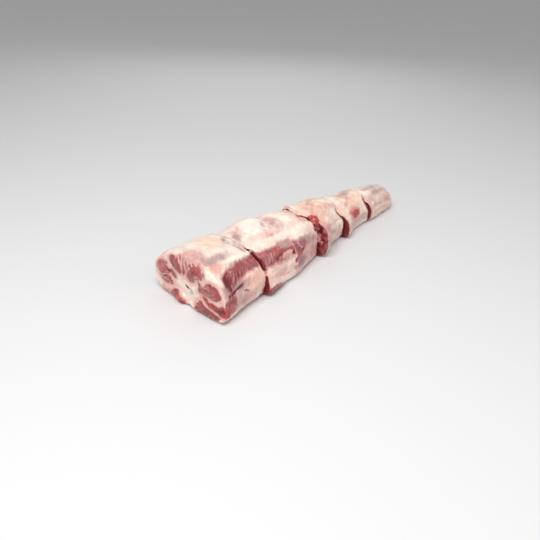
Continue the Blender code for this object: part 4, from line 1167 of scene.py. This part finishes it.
sliceThree = {
    "seed": 37,
    "fine": (),
    "twoSided": True,
    "rims": {"front": [(60, 0.7), (120, 0.6), (160, 1.2), (200, 1.0)], "rear": [(60, 1.5), (80, 3),
        (100, 4.5), (112, 3.5), (130, 2.5), (200, 2.5)]},
    "ground": {"warm": 0.1, "flush": [(90, 0.1), (125, 0.1), (150, 0.35), (175, 0.7), (270, 0.4)],
        "veil": [(90, 0), (140, 0), (160, 0.3), (270, 0.2)]},
    "edges": [
        ("fromRear", "flush", 3, [(90, 0.3), (150, 0.8), (220, 0.8)]),
        ("fromRear", "lean", 1.8, [(94, 0), (104, 0.7), (124, 0.9), (134, 0)]),
        # painted shade: a mauve-grey line along the crease to slice 2 over the back
        ("fromFront", "veil", 1.2, [(70, 0.7), (130, 0.7), (140, 0)]),
    ],
    "patches": {
        "flush": [(-47, 82, 7, 26, 5, 0.5), (-32, 116, 7, 10, 4, 0.3), (-16, 92, 6, 16, 4, 0.5),
            (-15, 68, 6, 14, 4, 0.5), (-16, 116, 9, 8, 4, 0.8, 0.2), (-45, 96, 9, 34, 5, 0.3),
            (-28, 180, 18, 13, 6, 0.8, 0, 20), (-18, 184, 6, 2, 2.4, 0.35, -0.2, 50)],
        "veil": [(-46, 68, 5, 5, 3, 0.6, -0.3, -30), (-47.5, 90, 4.5, 6, 3, 0.55, -0.4, -30),
            (-41, 86, 4, 12, 4, 0.35, -0.2), (-46, 114, 5, 8, 4, 0.35), (-30, 146, 9, 7, 3, -0.5),
            (-23.5, 87, 3, 3, 2, 0.35, -0.3), (-15, 144, 6, 4, 3, 0.4), (-40, 153, 12, 6, 4, 0.8),
            (-27, 157, 10, 8, 5, 0.7, -0.2), (-44, 158, 6, 6, 3, 0.5, 0.1), (-45, 96, 9, 34, 5, 0.25),
            (-45, 183, 6.5, 7, 3.5, 0.9, -0.2), (-44, 181, 9, 9, 3.5, 0.9)],
        "bright": [(-33, 99, 7, 20, 4, 0.7, 0.8), (-30, 133, 24, 6, 3, 0.7, 0.7),
            (-17, 174, 7, 14, 4, 0.5, 0.2)],
        "warm": [(-24, 96, 8, 12, 5, 0.5)],
        "lean": [(-34, 160, 10, 6, 5, 0.5), (-45, 181, 9, 9, 3.5, 0.9),
            (-31, 176, 10, 2, 2.4, 0.4, -0.3, 40), (-9.5, 166, 2.4, 3, 1.8, 0.4),
            (-7.6, 186, 1.8, 18, 1.4, 1, -0.3), (-7.5, 148, 2.8, 6, 1.6, 0.9, -0.6),
            (-30, 300, 20, 15, 3, 1), (-30, 240, 20, 15, 3, 1)],
        "deep": [(-40, 166, 5, 3.4, 2.4, 0.7, -0.4, 20), (-50, 158, 3, 8, 2.4, 0.4),
            (-7.2, 184, 1.6, 15, 1.3, 0.85), (-7.2, 148, 2.2, 5, 1.4, 0.9, -0.3)],
        "sheen": [(-30, 252, 20, 5, 3, 0.6)],
    },
    "bands": [
        ([(-57, 146), (-50, 147), (-44, 149), (-38, 150), (-33, 154), (-35, 162), (-38, 168), (-43, 173),
            (-50, 177), (-57, 177)], 3.6, 0.85, -0.5),
    ],
    "marks": {
        "lean": [([(-8, 80), (-10, 90), (-12.5, 99), (-15, 106)], 2.2, 1, -1.3),
            ([(-46.4, 152), (-45, 158), (-42, 162)], 1.4, -0.6, 0.2)],
        "deep": [([(-8, 82), (-10, 91), (-12.5, 99), (-14, 104)], 1.5, 0.85, -0.6),
            ([(-36, 172), (-31, 177), (-26, 182)], 1.8, 0.4, -0.3),
            ([(-27, 144), (-22, 144.6)], 1, 0.35, -0.3)],
        "flush": [([(-10, 78), (-14, 90), (-18, 105)], 2.4, 0.6, 0.5),
            ([(-47, 156), (-45.6, 161), (-43, 164), (-41, 160)], 1.1, 0.7, 0.3),
            ([(-30, 184), (-22, 178), (-14, 172)], 2, 0.7, 0.3)],
        "bright": [([(-53, 164), (-47, 168), (-42, 173)], 1.4, 0.5, 0.3),
            ([(-36, 146), (-27, 147.5), (-18, 147)], 1.6, 0.6, 0.4)],
    },
    "front": {
        "seams": [(40, 2), (85, 2.5), (135, 2), (172, 1.5), (268, 3), (355, 2)],
        "rind": [(0, 3), (60, 3), (84, 0.8), (110, 0.5), (140, 0.3), (165, 0.4), (190, 1.5), (270, 1)],
        "core": 12,
    },
    "rear": {
        "seams": [(32, 2), (84, 2.5), (138, 2), (176, 1.2), (268, 3), (352, 2)],
        "rind": [(0, 3), (90, 1.5), (140, 1), (200, 0.5), (270, 1)],
        "core": 12,
    },
}
sliceFour = {
    "seed": 41,
    "fine": ("front",),
    "twoSided": True,
    "rims": {"front": [(60, 2), (90, 2.6), (120, 1.5), (150, 1.8), (200, 2.5)], "rear": [(60, 1), (120, 1),
        (134, 2.2), (170, 1.2)]},
    # the pink that grows towards the lower right side is partly the skin's own, partly painted warm glow
    # where that side is in shade
    "ground": {"warm": [(90, 0.6), (130, 0.35), (270, 0.2)], "flush": [(90, 0.3), (130, 0.3), (165, 0.3),
        (200, 0.4), (270, 0.4)], "veil": [(140, 0), (185, 0.1), (270, 0.2)]},
    "edges": [
        ("fromFront", "flush", 3.5, [(90, 0.5), (130, 0.9), (220, 0.9)]),
        ("fromFront", "lean", 2, [(134, 0), (142, 0.5), (176, 0.5), (200, 0.6)]),
        ("fromFront", "flush", 8, [(116, 0), (128, 0.5), (150, 0.5), (170, 0)]),
        ("fromFront", "lean", 1.6, [(98, 0), (106, 0.5), (124, 0.7), (132, 0.4), (140, 0.5), (220, 0.6)]),
        ("fromRear", "lean", 1.3, [(106, 0), (114, 0.9), (140, 0.9), (150, 0)]),
        ("fromRear", "deep", 1.1, [(106, 0), (114, 0.7), (140, 0.7), (150, 0)]),
    ],
    "patches": {
        "flush": [(2, 165, 10, 26, 6, 0.6), (5, 96, 4, 16, 4, 0.6, 0.3, -30),
            (17, 84, 9, 3.4, 3, 0.6, 0.2, -50), (23, 72, 9, 4, 3, 0.7, 0, -34),
            (25, 112, 8, 8, 5, 0.6, 0.2, 10), (2, 125, 3, 14, 2.4, 0.7, 0.2), (24, 178, 12, 9, 6, 0.4, 0.2),
            (2, 160, 5, 16, 3, 0.6)],
        "veil": [(0, 178, 9, 10, 4, 0.5), (38, 180, 12, 10, 4, -0.9), (0, 66, 7, 16, 4, -0.8),
            (22, 72, 8, 2.5, 2.4, 0.45, -0.4, -34), (9, 118, 8, 5, 4, 0.3),
            (13, 164, 9, 4, 3.5, 0.85, -0.5, 15), (13, 186, 16, 6, 5, 0.7, -0.3, 30),
            # the patch at 43.5 mm is painted shade under the rear edge's overhang
            (43.5, 134, 2.8, 12, 2.2, 0.8, -0.7)],
        "bright": [(40, 170, 12, 22, 4, 1, 0.3), (36, 124, 12, 12, 5, 0.6), (38, 95, 10, 16, 5, 0.5),
            (0, 66, 7, 16, 4, 0.7, 0.3), (43, 85, 8, 18, 6, 0.8, 0.2)],
        "warm": [(12, 95, 26, 40, 10, 0.5), (14, 95, 4, 12, 3, 1, 0.8, -30)],
        "fresh": [(-4, 129, 6, 11, 2, 1)],
        "lean": [(6, 154, 5, 2.6, 3, 0.6, -0.3), (13, 164, 8, 3, 3.5, 0.3, 0, 15),
            # the patch at 44.5 mm is partly red meat at the rear edge, partly painted shade under the
            # overhang
            (14, 185, 14, 4, 4, 0.3, 0, 30), (44.5, 134, 1.6, 8, 1.6, 0.5), (48.5, 182, 2, 22, 1.6, 1),
            (22, 300, 24, 13, 3, 1), (22, 240, 24, 13, 3, 1)],
        "deep": [(49, 182, 1.6, 20, 1.4, 0.9)],
        "sheen": [(22, 252, 22, 5, 3, 0.6)],
    },
    "bands": [
        ([(-8, 122), (-5, 119), (-1, 119), (1, 124), (0, 131), (-1, 137), (-4, 140), (-8, 139)], 1, 1, 0.8),
    ],
    "marks": {
        "warm": [([(0, 110), (8, 98), (16, 86), (24, 76)], 2.4, 0.8, 0.5)],
        "flush": [([(4, 114), (12, 101), (20, 89), (28, 78)], 1.6, 0.6, -0.3),
            ([(20, 124), (26, 112), (32, 100)], 1.8, 0.5, 0.3),
            ([(2, 150), (14, 151), (28, 150), (42, 152)], 2.2, 0.5, 0.2)],
        "veil": [([(30, 128), (36, 114), (40, 104)], 2, 0.35, -0.3)],
        "bright": [([(2, 142), (12, 139), (24, 136), (36, 134)], 2.4, 0.5, 0.5),
            ([(6, 168), (18, 173), (32, 176), (44, 178)], 1.8, 0.5, 0.4)],
        "lean": [([(4, 172), (14, 180), (24, 188)], 2, 0.3, -0.3)],
    },
    "front": thirdCutFace,
    "rear": {
        "seams": [(32, 2), (84, 2), (138, 1.5), (178, 1.2), (268, 3), (352, 2)],
        "rind": [(0, 2.5), (90, 2.5), (140, 1.5), (200, 0.6), (270, 1)],
        "core": 10.5,
    },
}
sliceFive = {
    "seed": 53,
    "fine": ("front",),
    "twoSided": False,
    "rims": {"front": [(60, 1.2), (120, 1.2), (160, 2), (200, 2)], "rear": [(60, 1), (120, 2), (140, 3.2),
        (170, 2)]},
    # the pink that grows towards the lower right side is partly the skin's own, partly painted warm glow
    # where that side is in shade
    "ground": {"warm": [(90, 0.5), (130, 0.4), (270, 0.2)], "flush": [(90, 0.1), (130, 0.2), (160, 0.35),
        (190, 0.5), (270, 0.4)], "veil": [(130, 0), (180, 0.25), (270, 0.2)]},
    "edges": [
        ("fromFront", "flush", 3.5, [(90, 0.4), (150, 0.9), (220, 0.9)]),
        ("fromFront", "lean", 1.4, [(150, 0), (165, 0.5), (220, 0.6)]),
    ],
    "patches": {
        "bright": [(56, 88, 8, 30, 5, 1, 0.2), (70, 108, 8, 10, 5, 0.6), (92, 158, 9, 14, 4, 1),
            (56, 176, 6, 10, 4, 0.4), (93, 97, 6, 8, 4, 0.5, 0.4)],
        "veil": [(92, 68, 8, 10, 4, 0.5), (92, 156, 9, 14, 4, -0.7), (82, 78, 8, 11, 5, 0.75, -0.6),
            (86, 108, 6, 11, 5, 0.3), (63, 126, 5, 2.5, 2.5, 0.3, 0, -50), (65, 163, 4, 5, 3, 0.4),
            (55, 176, 6, 9, 4, 0.2, -0.1), (80, 190, 20, 10, 6, 0.3)],
        "warm": [(72, 105, 18, 30, 8, 0.6), (85, 110, 7, 10, 4, 0.7)],
        "flush": [(77, 100, 3.4, 16, 4, 0.6), (82, 78, 9, 13, 5, 0.75), (71.5, 156, 11.5, 20, 3, 1, 0.5),
            (78, 172, 9, 8, 5, 0.6, 0, 40)],
        "fresh": [(71, 155, 12, 16, 4, 0.8)],
        "deep": [(73, 162, 4, 6, 3, 0.4), (102, 170, 2.6, 34, 1.8, 0.85)],
        "lean": [(77, 300, 25, 11, 3, 1), (77, 240, 25, 11, 3, 1)],
        "sheen": [(77, 252, 24, 4, 3, 0.6)],
    },
    "bands": [
        ([(59, 158), (62, 149), (68, 142), (77, 143), (83, 151), (81, 167), (73, 174), (64, 172)],
            3, 0.3, 0.6),
        ([(61, 159), (63, 149), (69, 146), (78, 148), (81, 159), (76, 171), (67, 172)], 2.2, 0.54, 0.4),
        ([(67, 161), (71, 153), (77, 153), (79, 161), (75, 168), (70, 168)], 2, 0.5, 0.1),
        ([(97, 130), (98.5, 122), (101, 119), (106, 118), (107, 130), (107, 200), (102.5, 200),
            (101.5, 180), (99, 160), (97, 146)], 1.8, 1, -0.6),
    ],
    "marks": {
        "flush": [([(64, 128), (70, 118), (75, 104), (78, 90)], 1.8, 0.6, 0.3),
            ([(58, 176), (68, 178), (80, 180), (94, 178)], 2, 0.5, 0.2)],
        "veil": [([(58, 136), (64, 124), (69, 112)], 1.6, 0.35, -0.3)],
        "bright": [([(86, 128), (91, 116), (95, 104)], 2, 0.6, 0.5),
            ([(82, 150), (90, 146), (96, 140)], 2, 0.5, 0.4)],
    },
    "front": {
        "seams": [(48, 1.6), (88, 2), (268, 3), (355, 2)],
        "rind": [(0, 0.4), (18, 0.4), (30, 3), (90, 3), (108, 1.2), (118, 2.4), (146, 3), (156, 0.4),
            (230, 0.2), (270, 1)],
        "core": 9.5,
        "deep": 0.95,
    },
    "rear": {
        "seams": [(32, 1.6), (84, 2), (138, 1.2), (178, 1.2), (268, 3), (352, 2)],
        "rind": [(0, 2), (90, 2), (120, 0.8), (150, 0.4), (200, 0.6), (270, 1)],
        "core": 9.5,
    },
}
sliceSix = {
    "seed": 67,
    "fine": ("front", "rear"),
    "twoSided": True,
    "rims": {"front": [(60, 1.2), (120, 1.2), (160, 1.6)], "rear": 2.8},
    # the pink that grows towards the lower right side is partly the skin's own, partly painted warm glow
    # where that side is in shade
    "ground": {"warm": 0.15, "flush": [(90, 0.2), (120, 0.35), (150, 0.45), (270, 0.4)],
        "veil": [(90, 0.25), (140, 0.25), (270, 0.25)]},
    "edges": [
        ("fromFront", "flush", 3, [(90, 0.4), (130, 0.8), (220, 0.9)]),
        ("fromFront", "lean", 1.2, [(140, 0), (150, 0.4), (220, 0.5)]),
    ],
    "patches": {
        "bright": [(114, 100, 8, 24, 4, 1, 0.2), (113, 114, 9, 14, 4, 1, 0.2), (153, 178, 8, 12, 4, 0.6),
            (136, 103, 8, 6, 4, 0.5, 0.5), (153, 108, 6, 20, 4, 0.5, 0.3)],
        # painted light: the membrane and pink patches that take away at 113 mm lighten a part of the back
        # that lies in shade
        "veil": [(113, 112, 10, 18, 4, -0.9), (122, 95, 7, 14, 6, 0.3), (133, 88, 9, 8, 5, 0.7, -0.5),
            (137, 119, 14, 7, 5, 0.8, -0.6)],
        "flush": [(113, 112, 9, 14, 4, -0.6), (136, 88, 9, 7, 5, 0.4), (110, 134, 6, 14, 5, 0.4, 0.2),
            (150, 150, 12, 40, 8, 0.4), (107, 160, 2, 40, 2, 0.8, 0.2)],
        "warm": [(115, 106, 7, 10, 4, 0.4)],
        "lean": [(133, 89, 7, 5, 5, 0.2), (139, 119, 12, 5, 5, 0.3), (132, 300, 26, 9, 3, 0.8),
            (132, 240, 26, 9, 3, 0.8)],
    },
    "bands": [],
    "marks": {
        "lean": [([(112, 182), (126, 183), (142, 184)], 1.6, 0.3, -0.3),
            ([(130, 166), (142, 167), (152, 167)], 1.4, 0.25, -0.2)],
        "bright": [([(112, 148), (126, 146), (144, 144)], 2, 0.5, 0.4),
            ([(112, 172), (128, 174), (150, 175)], 2, 0.4, 0.3)],
        "veil": [([(114, 158), (130, 160), (150, 160)], 2.4, 0.4, -0.3)],
    },
    "front": {
        "seams": [(48, 1.4), (88, 2), (268, 3), (355, 2)],
        "rind": [(0, 0.3), (32, 0.3), (45, 1.5), (90, 1.2), (110, 0.9), (126, 1.5), (138, 0.3), (230, 0.2),
            (270, 1)],
        "core": 8,
        "deep": 0.95,
    },
    "rear": tipCut,
}
slices = (sliceOne, sliceTwo, sliceThree, sliceFour, sliceFive, sliceSix)

# mm across the blobs, mm they stand out
relief = {"swells": (17, 0.8), "folds": (6, 0.42), "pits": (2.4, 0.13)}
onCuts = 0.3  # share of that relief that the cuts have
tone = {  # unevenness over the whole skin: mm across the blobs, octaves, how strong, the streaks' share
    "veil": (12, 2, 0.22, 0.08),
    "flush": (10, 3, 0.25, 0),
}
# the lip of flesh round the bone: mm out, how uneven, and the mm from the hole's edge over which it begins
# and gives way to the cut
atBone = {"out": 0.35, "uneven": (0.3, 4), "within": (-2.0, 0), "beyond": (-0.2, 2.5)}
mirror = {
    "from": 130,  # degrees between which the patches come again on the left, as the tail is even-sided
    "to": 200,
    "sum": 168,  # both places' degrees together: a little under 180, as they lie lower on the left
}


def bothSides(piece):
    patches = {}
    for layer, listed in piece["patches"].items():
        again = []
        for x, degrees, halfAlong, halfRound, soft, strength, *more in listed:
            if mirror["from"] < degrees < mirror["to"]:
                out, turn = (*more, 0, 0)[:2]
                again.append((x, mirror["sum"] - degrees, halfAlong, halfRound, soft, strength, out, -turn))
        patches[layer] = again + listed
    bands = []
    for outline, *rest in piece["bands"] if piece["twoSided"] else ():
        if all(mirror["from"] < degrees for _, degrees in outline):
            bands.append(([(x, mirror["sum"] - degrees) for x, degrees in outline], *rest))
    return {**piece, "patches": patches, "bands": bands + piece["bands"]}


def buildSlice(number, piece):
    name, boneName = f"slice_{number}", f"vertebra_{number}"
    grid = sliceGrid(readSlice(name, boneName), piece["rims"], piece["fine"])
    points = pointsOf(grid)
    seed = piece["seed"]
    made, lift, slant = paintSkin(grid, points, bothSides(piece))
    for end in ("front", "rear"):
        for part, paint in (("seams", meatFace), ("lobes", paintLobes)):
            if part in piece[end]:
                paint(grid, points, piece[end], made, lift, end, seed)
    onSkin = 1 - smooth(*rimFade, np.abs(grid["zone"]))
    for k, (size, height) in enumerate(relief.values()):
        lift = lift + height * (onCuts + (1 - onCuts) * onSkin) * cloud(points, size, seed + 13 + k, 2)
    for k, (layer, (size, octaves, strength, streaks)) in enumerate(tone.items()):
        change = strength * cloud(points, size, seed + 17 + k, octaves) + streaks * slant
        made[layer] = np.clip(made[layer] + onSkin * change, 0, 1)
    atHole = atBone["out"] + uneven(points, atBone["uneven"], seed + 19)
    atHole = atHole * smooth(*atBone["within"], grid["outward"])
    lift = atHole + (lift - atHole) * smooth(*atBone["beyond"], grid["outward"])
    points = points + normalsOf(points) * lift[..., None]
    points[..., 2] = np.maximum(points[..., 2], 0)  # nothing sinks into the floor
    rows, count = grid["x"].shape
    flesh = addMesh(name + "_flesh", points, True, made, vealMaterial)
    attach(flesh, "root")
    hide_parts(name)
    print(name, "dressed:", rows * count * 2, "triangles")


for number, piece in enumerate(slices, 1):
    buildSlice(number, piece)


# The sawn vertebrae. Each spot on a cut end: mm across and up from the bone's middle, two half sizes in mm,
# degrees turned; drawn for a bone of this height in mm.
vertebrae = {
    "count": 160,  # points round
    "endRows": 22,
    "bodyRows": 14,
    "inside": 5.0,  # mm beyond a cut end, where its edge is read
    "calm": 2.0,  # readings that the edge is evened out over
    "centre": 0.01,  # the first and the last ring on an end, as shares of its edge
    "spread": 0.93,
    "rim": ((-0.1, 0.2), (0.5, 0.9)),  # mm further in, mm out from the edge and into the flesh
    "first": {
        "height": 24,
        "spots": {
            "canal": (0.6, 3.6, 3.6, 1.5, -15),
            "marrow": (-6.6, 1.2, 3.8, 3.4, 20),
            "low": (-4.6, -1.6, 1.8, 2.2, 0),
        },
    },
    "others": {
        "height": 20,
        "spots": {
            "canal": (0, 5.2, 1.8, 1.2, 0),
            "marrow": (0, -1, 4.2, 3.2, 0),
            "low": (2, -3, 1.5, 1.2, 0),
        },
    },
    "spotEdge": {"from": (0.6, 1.25), "uneven": (0.3, 2.5)},
    "marrow": 0.85,
    "relief": ((0.3, 4), (0.1, 1.6)),  # mm that a cut end is uneven, and mm across the blobs
    "sunk": {"canal": 0.6, "marrow": 0.4},  # mm
}


def spotShare(points, middle, spot, shrink):
    *sizes, turn = spot
    across, height, halfWide, halfHigh = (size * shrink for size in sizes)
    edge = vertebrae["spotEdge"]
    u, v = turned(-(points[..., 1] - middle[0] - across), points[..., 2] - middle[1] - height, turn)
    off = np.hypot(u / halfWide, v / halfHigh) + uneven(points, edge["uneven"], 5)
    return 1 - smooth(*edge["from"], off)


def buildBone(number):
    name = f"vertebra_{number}"
    tree = treeOf(name)
    low, high, middle = boxOf(name)
    angles = np.arange(vertebrae["count"]) / vertebrae["count"] * fullTurn

    def edgeAt(places):
        return blur(wallRing(tree, places, middle, angles, scan["far"]), vertebrae["calm"], 0, True)

    ends = []
    for way, outer in ((1, low.x), (-1, high.x)):
        edge = edgeAt(np.full(angles.size, outer + way * vertebrae["inside"]))
        rows = []
        for k in range(vertebrae["endRows"] + 1):
            reach = edge * (vertebrae["centre"] + vertebrae["spread"] * k / vertebrae["endRows"])
            rows.append((cutRing(tree, reach, middle, angles, way), reach))
        for further, over in vertebrae["rim"]:
            rows.append((rows[-1][0] + way * further, edge + over))
        ends.append(rows)
    front, rear = ends
    body = []
    for k in range(1, vertebrae["bodyRows"]):
        places = front[-1][0] + (rear[-1][0] - front[-1][0]) * k / vertebrae["bodyRows"]
        body.append((places, edgeAt(places)))
    rings = front + body + rear[::-1]
    x, r = (np.array([ring[i] for ring in rings]) for i in (0, 1))
    points = pointsOf({"x": x, "r": r, "angle": angles, "middle": middle})
    row = np.arange(len(rings))[:, None]
    isFront, isRear = row <= vertebrae["endRows"] + 1, row >= len(rings) - vertebrae["endRows"] - 2
    drawn = vertebrae["first" if number == 1 else "others"]
    shrink = (high.z - low.z) / drawn["height"]
    share = {}
    for spot, place in drawn["spots"].items():
        share[spot] = spotShare(points, middle, place, shrink) * (isFront | isRear)
    marrow = np.maximum(share["marrow"] * vertebrae["marrow"], share["low"])
    bulge = uneven(points, vertebrae["relief"][0], 8) + uneven(points, vertebrae["relief"][1], 9)
    bulge = bulge - vertebrae["sunk"]["canal"] * share["canal"] - vertebrae["sunk"]["marrow"] * marrow
    points[..., 0] += np.where(isFront, -bulge, 0) + np.where(isRear, bulge, 0)
    made = {"canal": share["canal"], "marrow": marrow * (1 - share["canal"])}
    piece = addMesh(name + "_bone", points, False, made, boneMaterial)
    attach(piece, "root")
    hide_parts(name)


for number in range(1, len(slices) + 1):
    buildBone(number)
print("bones set in")

# What stands out of the third cut: mm along, across and up, three half sizes in mm, degrees turned, how
# uneven it is and how it is coloured.
thirdCut = {
    "clot_high": {"at": (-4.4, -12.8, 39.2), "half": (2.6, 3.8, 1.9), "turn": 24, "uneven": 0.45}
    | {"lean": 0.8, "fresh": 0.7, "flush": 1},
    "clot": {"at": (-4.7, -16.6, 37.4), "half": (2.9, 3.3, 2.8), "turn": 40, "uneven": 0.42}
    | {"lean": 0.74, "fresh": 0.9, "flush": 1},
    "clot_low": {"at": (-4.4, -19.6, 34.6), "half": (2.6, 2.7, 2.5), "turn": 20, "uneven": 0.4}
    | {"lean": 1, "fresh": 0.8, "deep": 0.5},
    "vessel": {"at": (-4.8, -20.8, 30.4), "half": (3.2, 3.5, 3.5), "turn": 0, "uneven": 0.3}
    | {"lean": 1, "deep": 0.65, "veil": 0.7},
}
lumpLook = {"rows": 26, "count": 44, "blobs": 3.4, "patchy": (0.25, 2.5)}


def buildLump(name, lump):
    rows, count = lumpLook["rows"], lumpLook["count"]
    polar = (np.arange(rows) + 0.5) / rows * math.pi
    angle = np.arange(count) / count * fullTurn
    ring, level = np.sin(polar)[:, None], np.cos(polar)[:, None] + angle * 0
    ball = np.stack([ring * np.cos(angle), ring * np.sin(angle), level], -1)
    shaped = ball * lump["half"]
    shaped = shaped * (1 + uneven(shaped + lump["at"], (lump["uneven"], lumpLook["blobs"]), 5)[..., None])
    y, z = turned(shaped[..., 1], shaped[..., 2], -lump["turn"])
    points = np.stack([shaped[..., 0], y, z], -1) + lump["at"]
    patchy = uneven(points, lumpLook["patchy"], 6)
    made = {layer: lump[layer] + patchy if layer in lump else patchy * 0 for layer in layers}
    piece = addMesh(name, points, False, made, vealMaterial)
    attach(piece, "root")


for name, lump in thirdCut.items():
    buildLump("slice_4_" + name, lump)
print("third cut dressed")

studio = {
    "floor": {"colour": "#dcdcdc", "roughness": 0.8, "size": 14, "height": -0.0002},
    "sky": 0.415,
    "lookAt": (0, 0, 0.02),
    "lamps": {
        "key": {"at": (-0.5, -0.2, 0.82), "size": 0.65, "power": 8.1},
        "fill": {"at": (0.35, -0.95, 0.5), "size": 0.9, "power": 1.9},
        "back": {"at": (0.6, 0.6, 0.6), "size": 0.7, "power": 1.2},
    },
}
floorMaterial, _, floorShader = newMaterial("studioFloor")
floorShader.inputs["Base Color"].default_value = linear(studio["floor"]["colour"])
floorShader.inputs["Roughness"].default_value = studio["floor"]["roughness"]
bpy.ops.mesh.primitive_plane_add(size=studio["floor"]["size"], location=(0, 0, studio["floor"]["height"]))
floor = bpy.context.object
floor.name = "floor"
floor.data.materials.append(floorMaterial)

world = bpy.data.worlds.new("studio")
world.use_nodes = True
world.node_tree.nodes["Background"].inputs["Color"].default_value = (1, 1, 1, 1)
world.node_tree.nodes["Background"].inputs["Strength"].default_value = studio["sky"]
bpy.context.scene.world = world
for name, chosen in studio["lamps"].items():
    lamp = bpy.data.lights.new(name, "AREA")
    lamp.energy = chosen["power"]
    lamp.size = chosen["size"]
    lampObject = bpy.data.objects.new(name, lamp)
    lampObject.location = chosen["at"]
    toMiddle = Vector(studio["lookAt"]) - Vector(chosen["at"])
    lampObject.rotation_euler = toMiddle.to_track_quat("-Z", "Y").to_euler()
    bpy.context.scene.collection.objects.link(lampObject)

view = {  # metres, degrees and mm
    "at": (-0.45587, -0.33433, 0.29134),
    "turn": (60.2361, -2.6027, -48.9392),
    "lens": 39.317,
    "sensor": 36,
    "near": 0.01,
}
camera = bpy.data.cameras.new("camera")
camera.lens = view["lens"]
camera.sensor_width = view["sensor"]
camera.clip_start = view["near"]
cameraObject = bpy.data.objects.new("camera", camera)
cameraObject.location = view["at"]
cameraObject.rotation_euler = [math.radians(v) for v in view["turn"]]
bpy.context.scene.collection.objects.link(cameraObject)
bpy.context.scene.camera = cameraObject
bpy.context.scene.view_settings.view_transform = "Standard"
print("studio set")
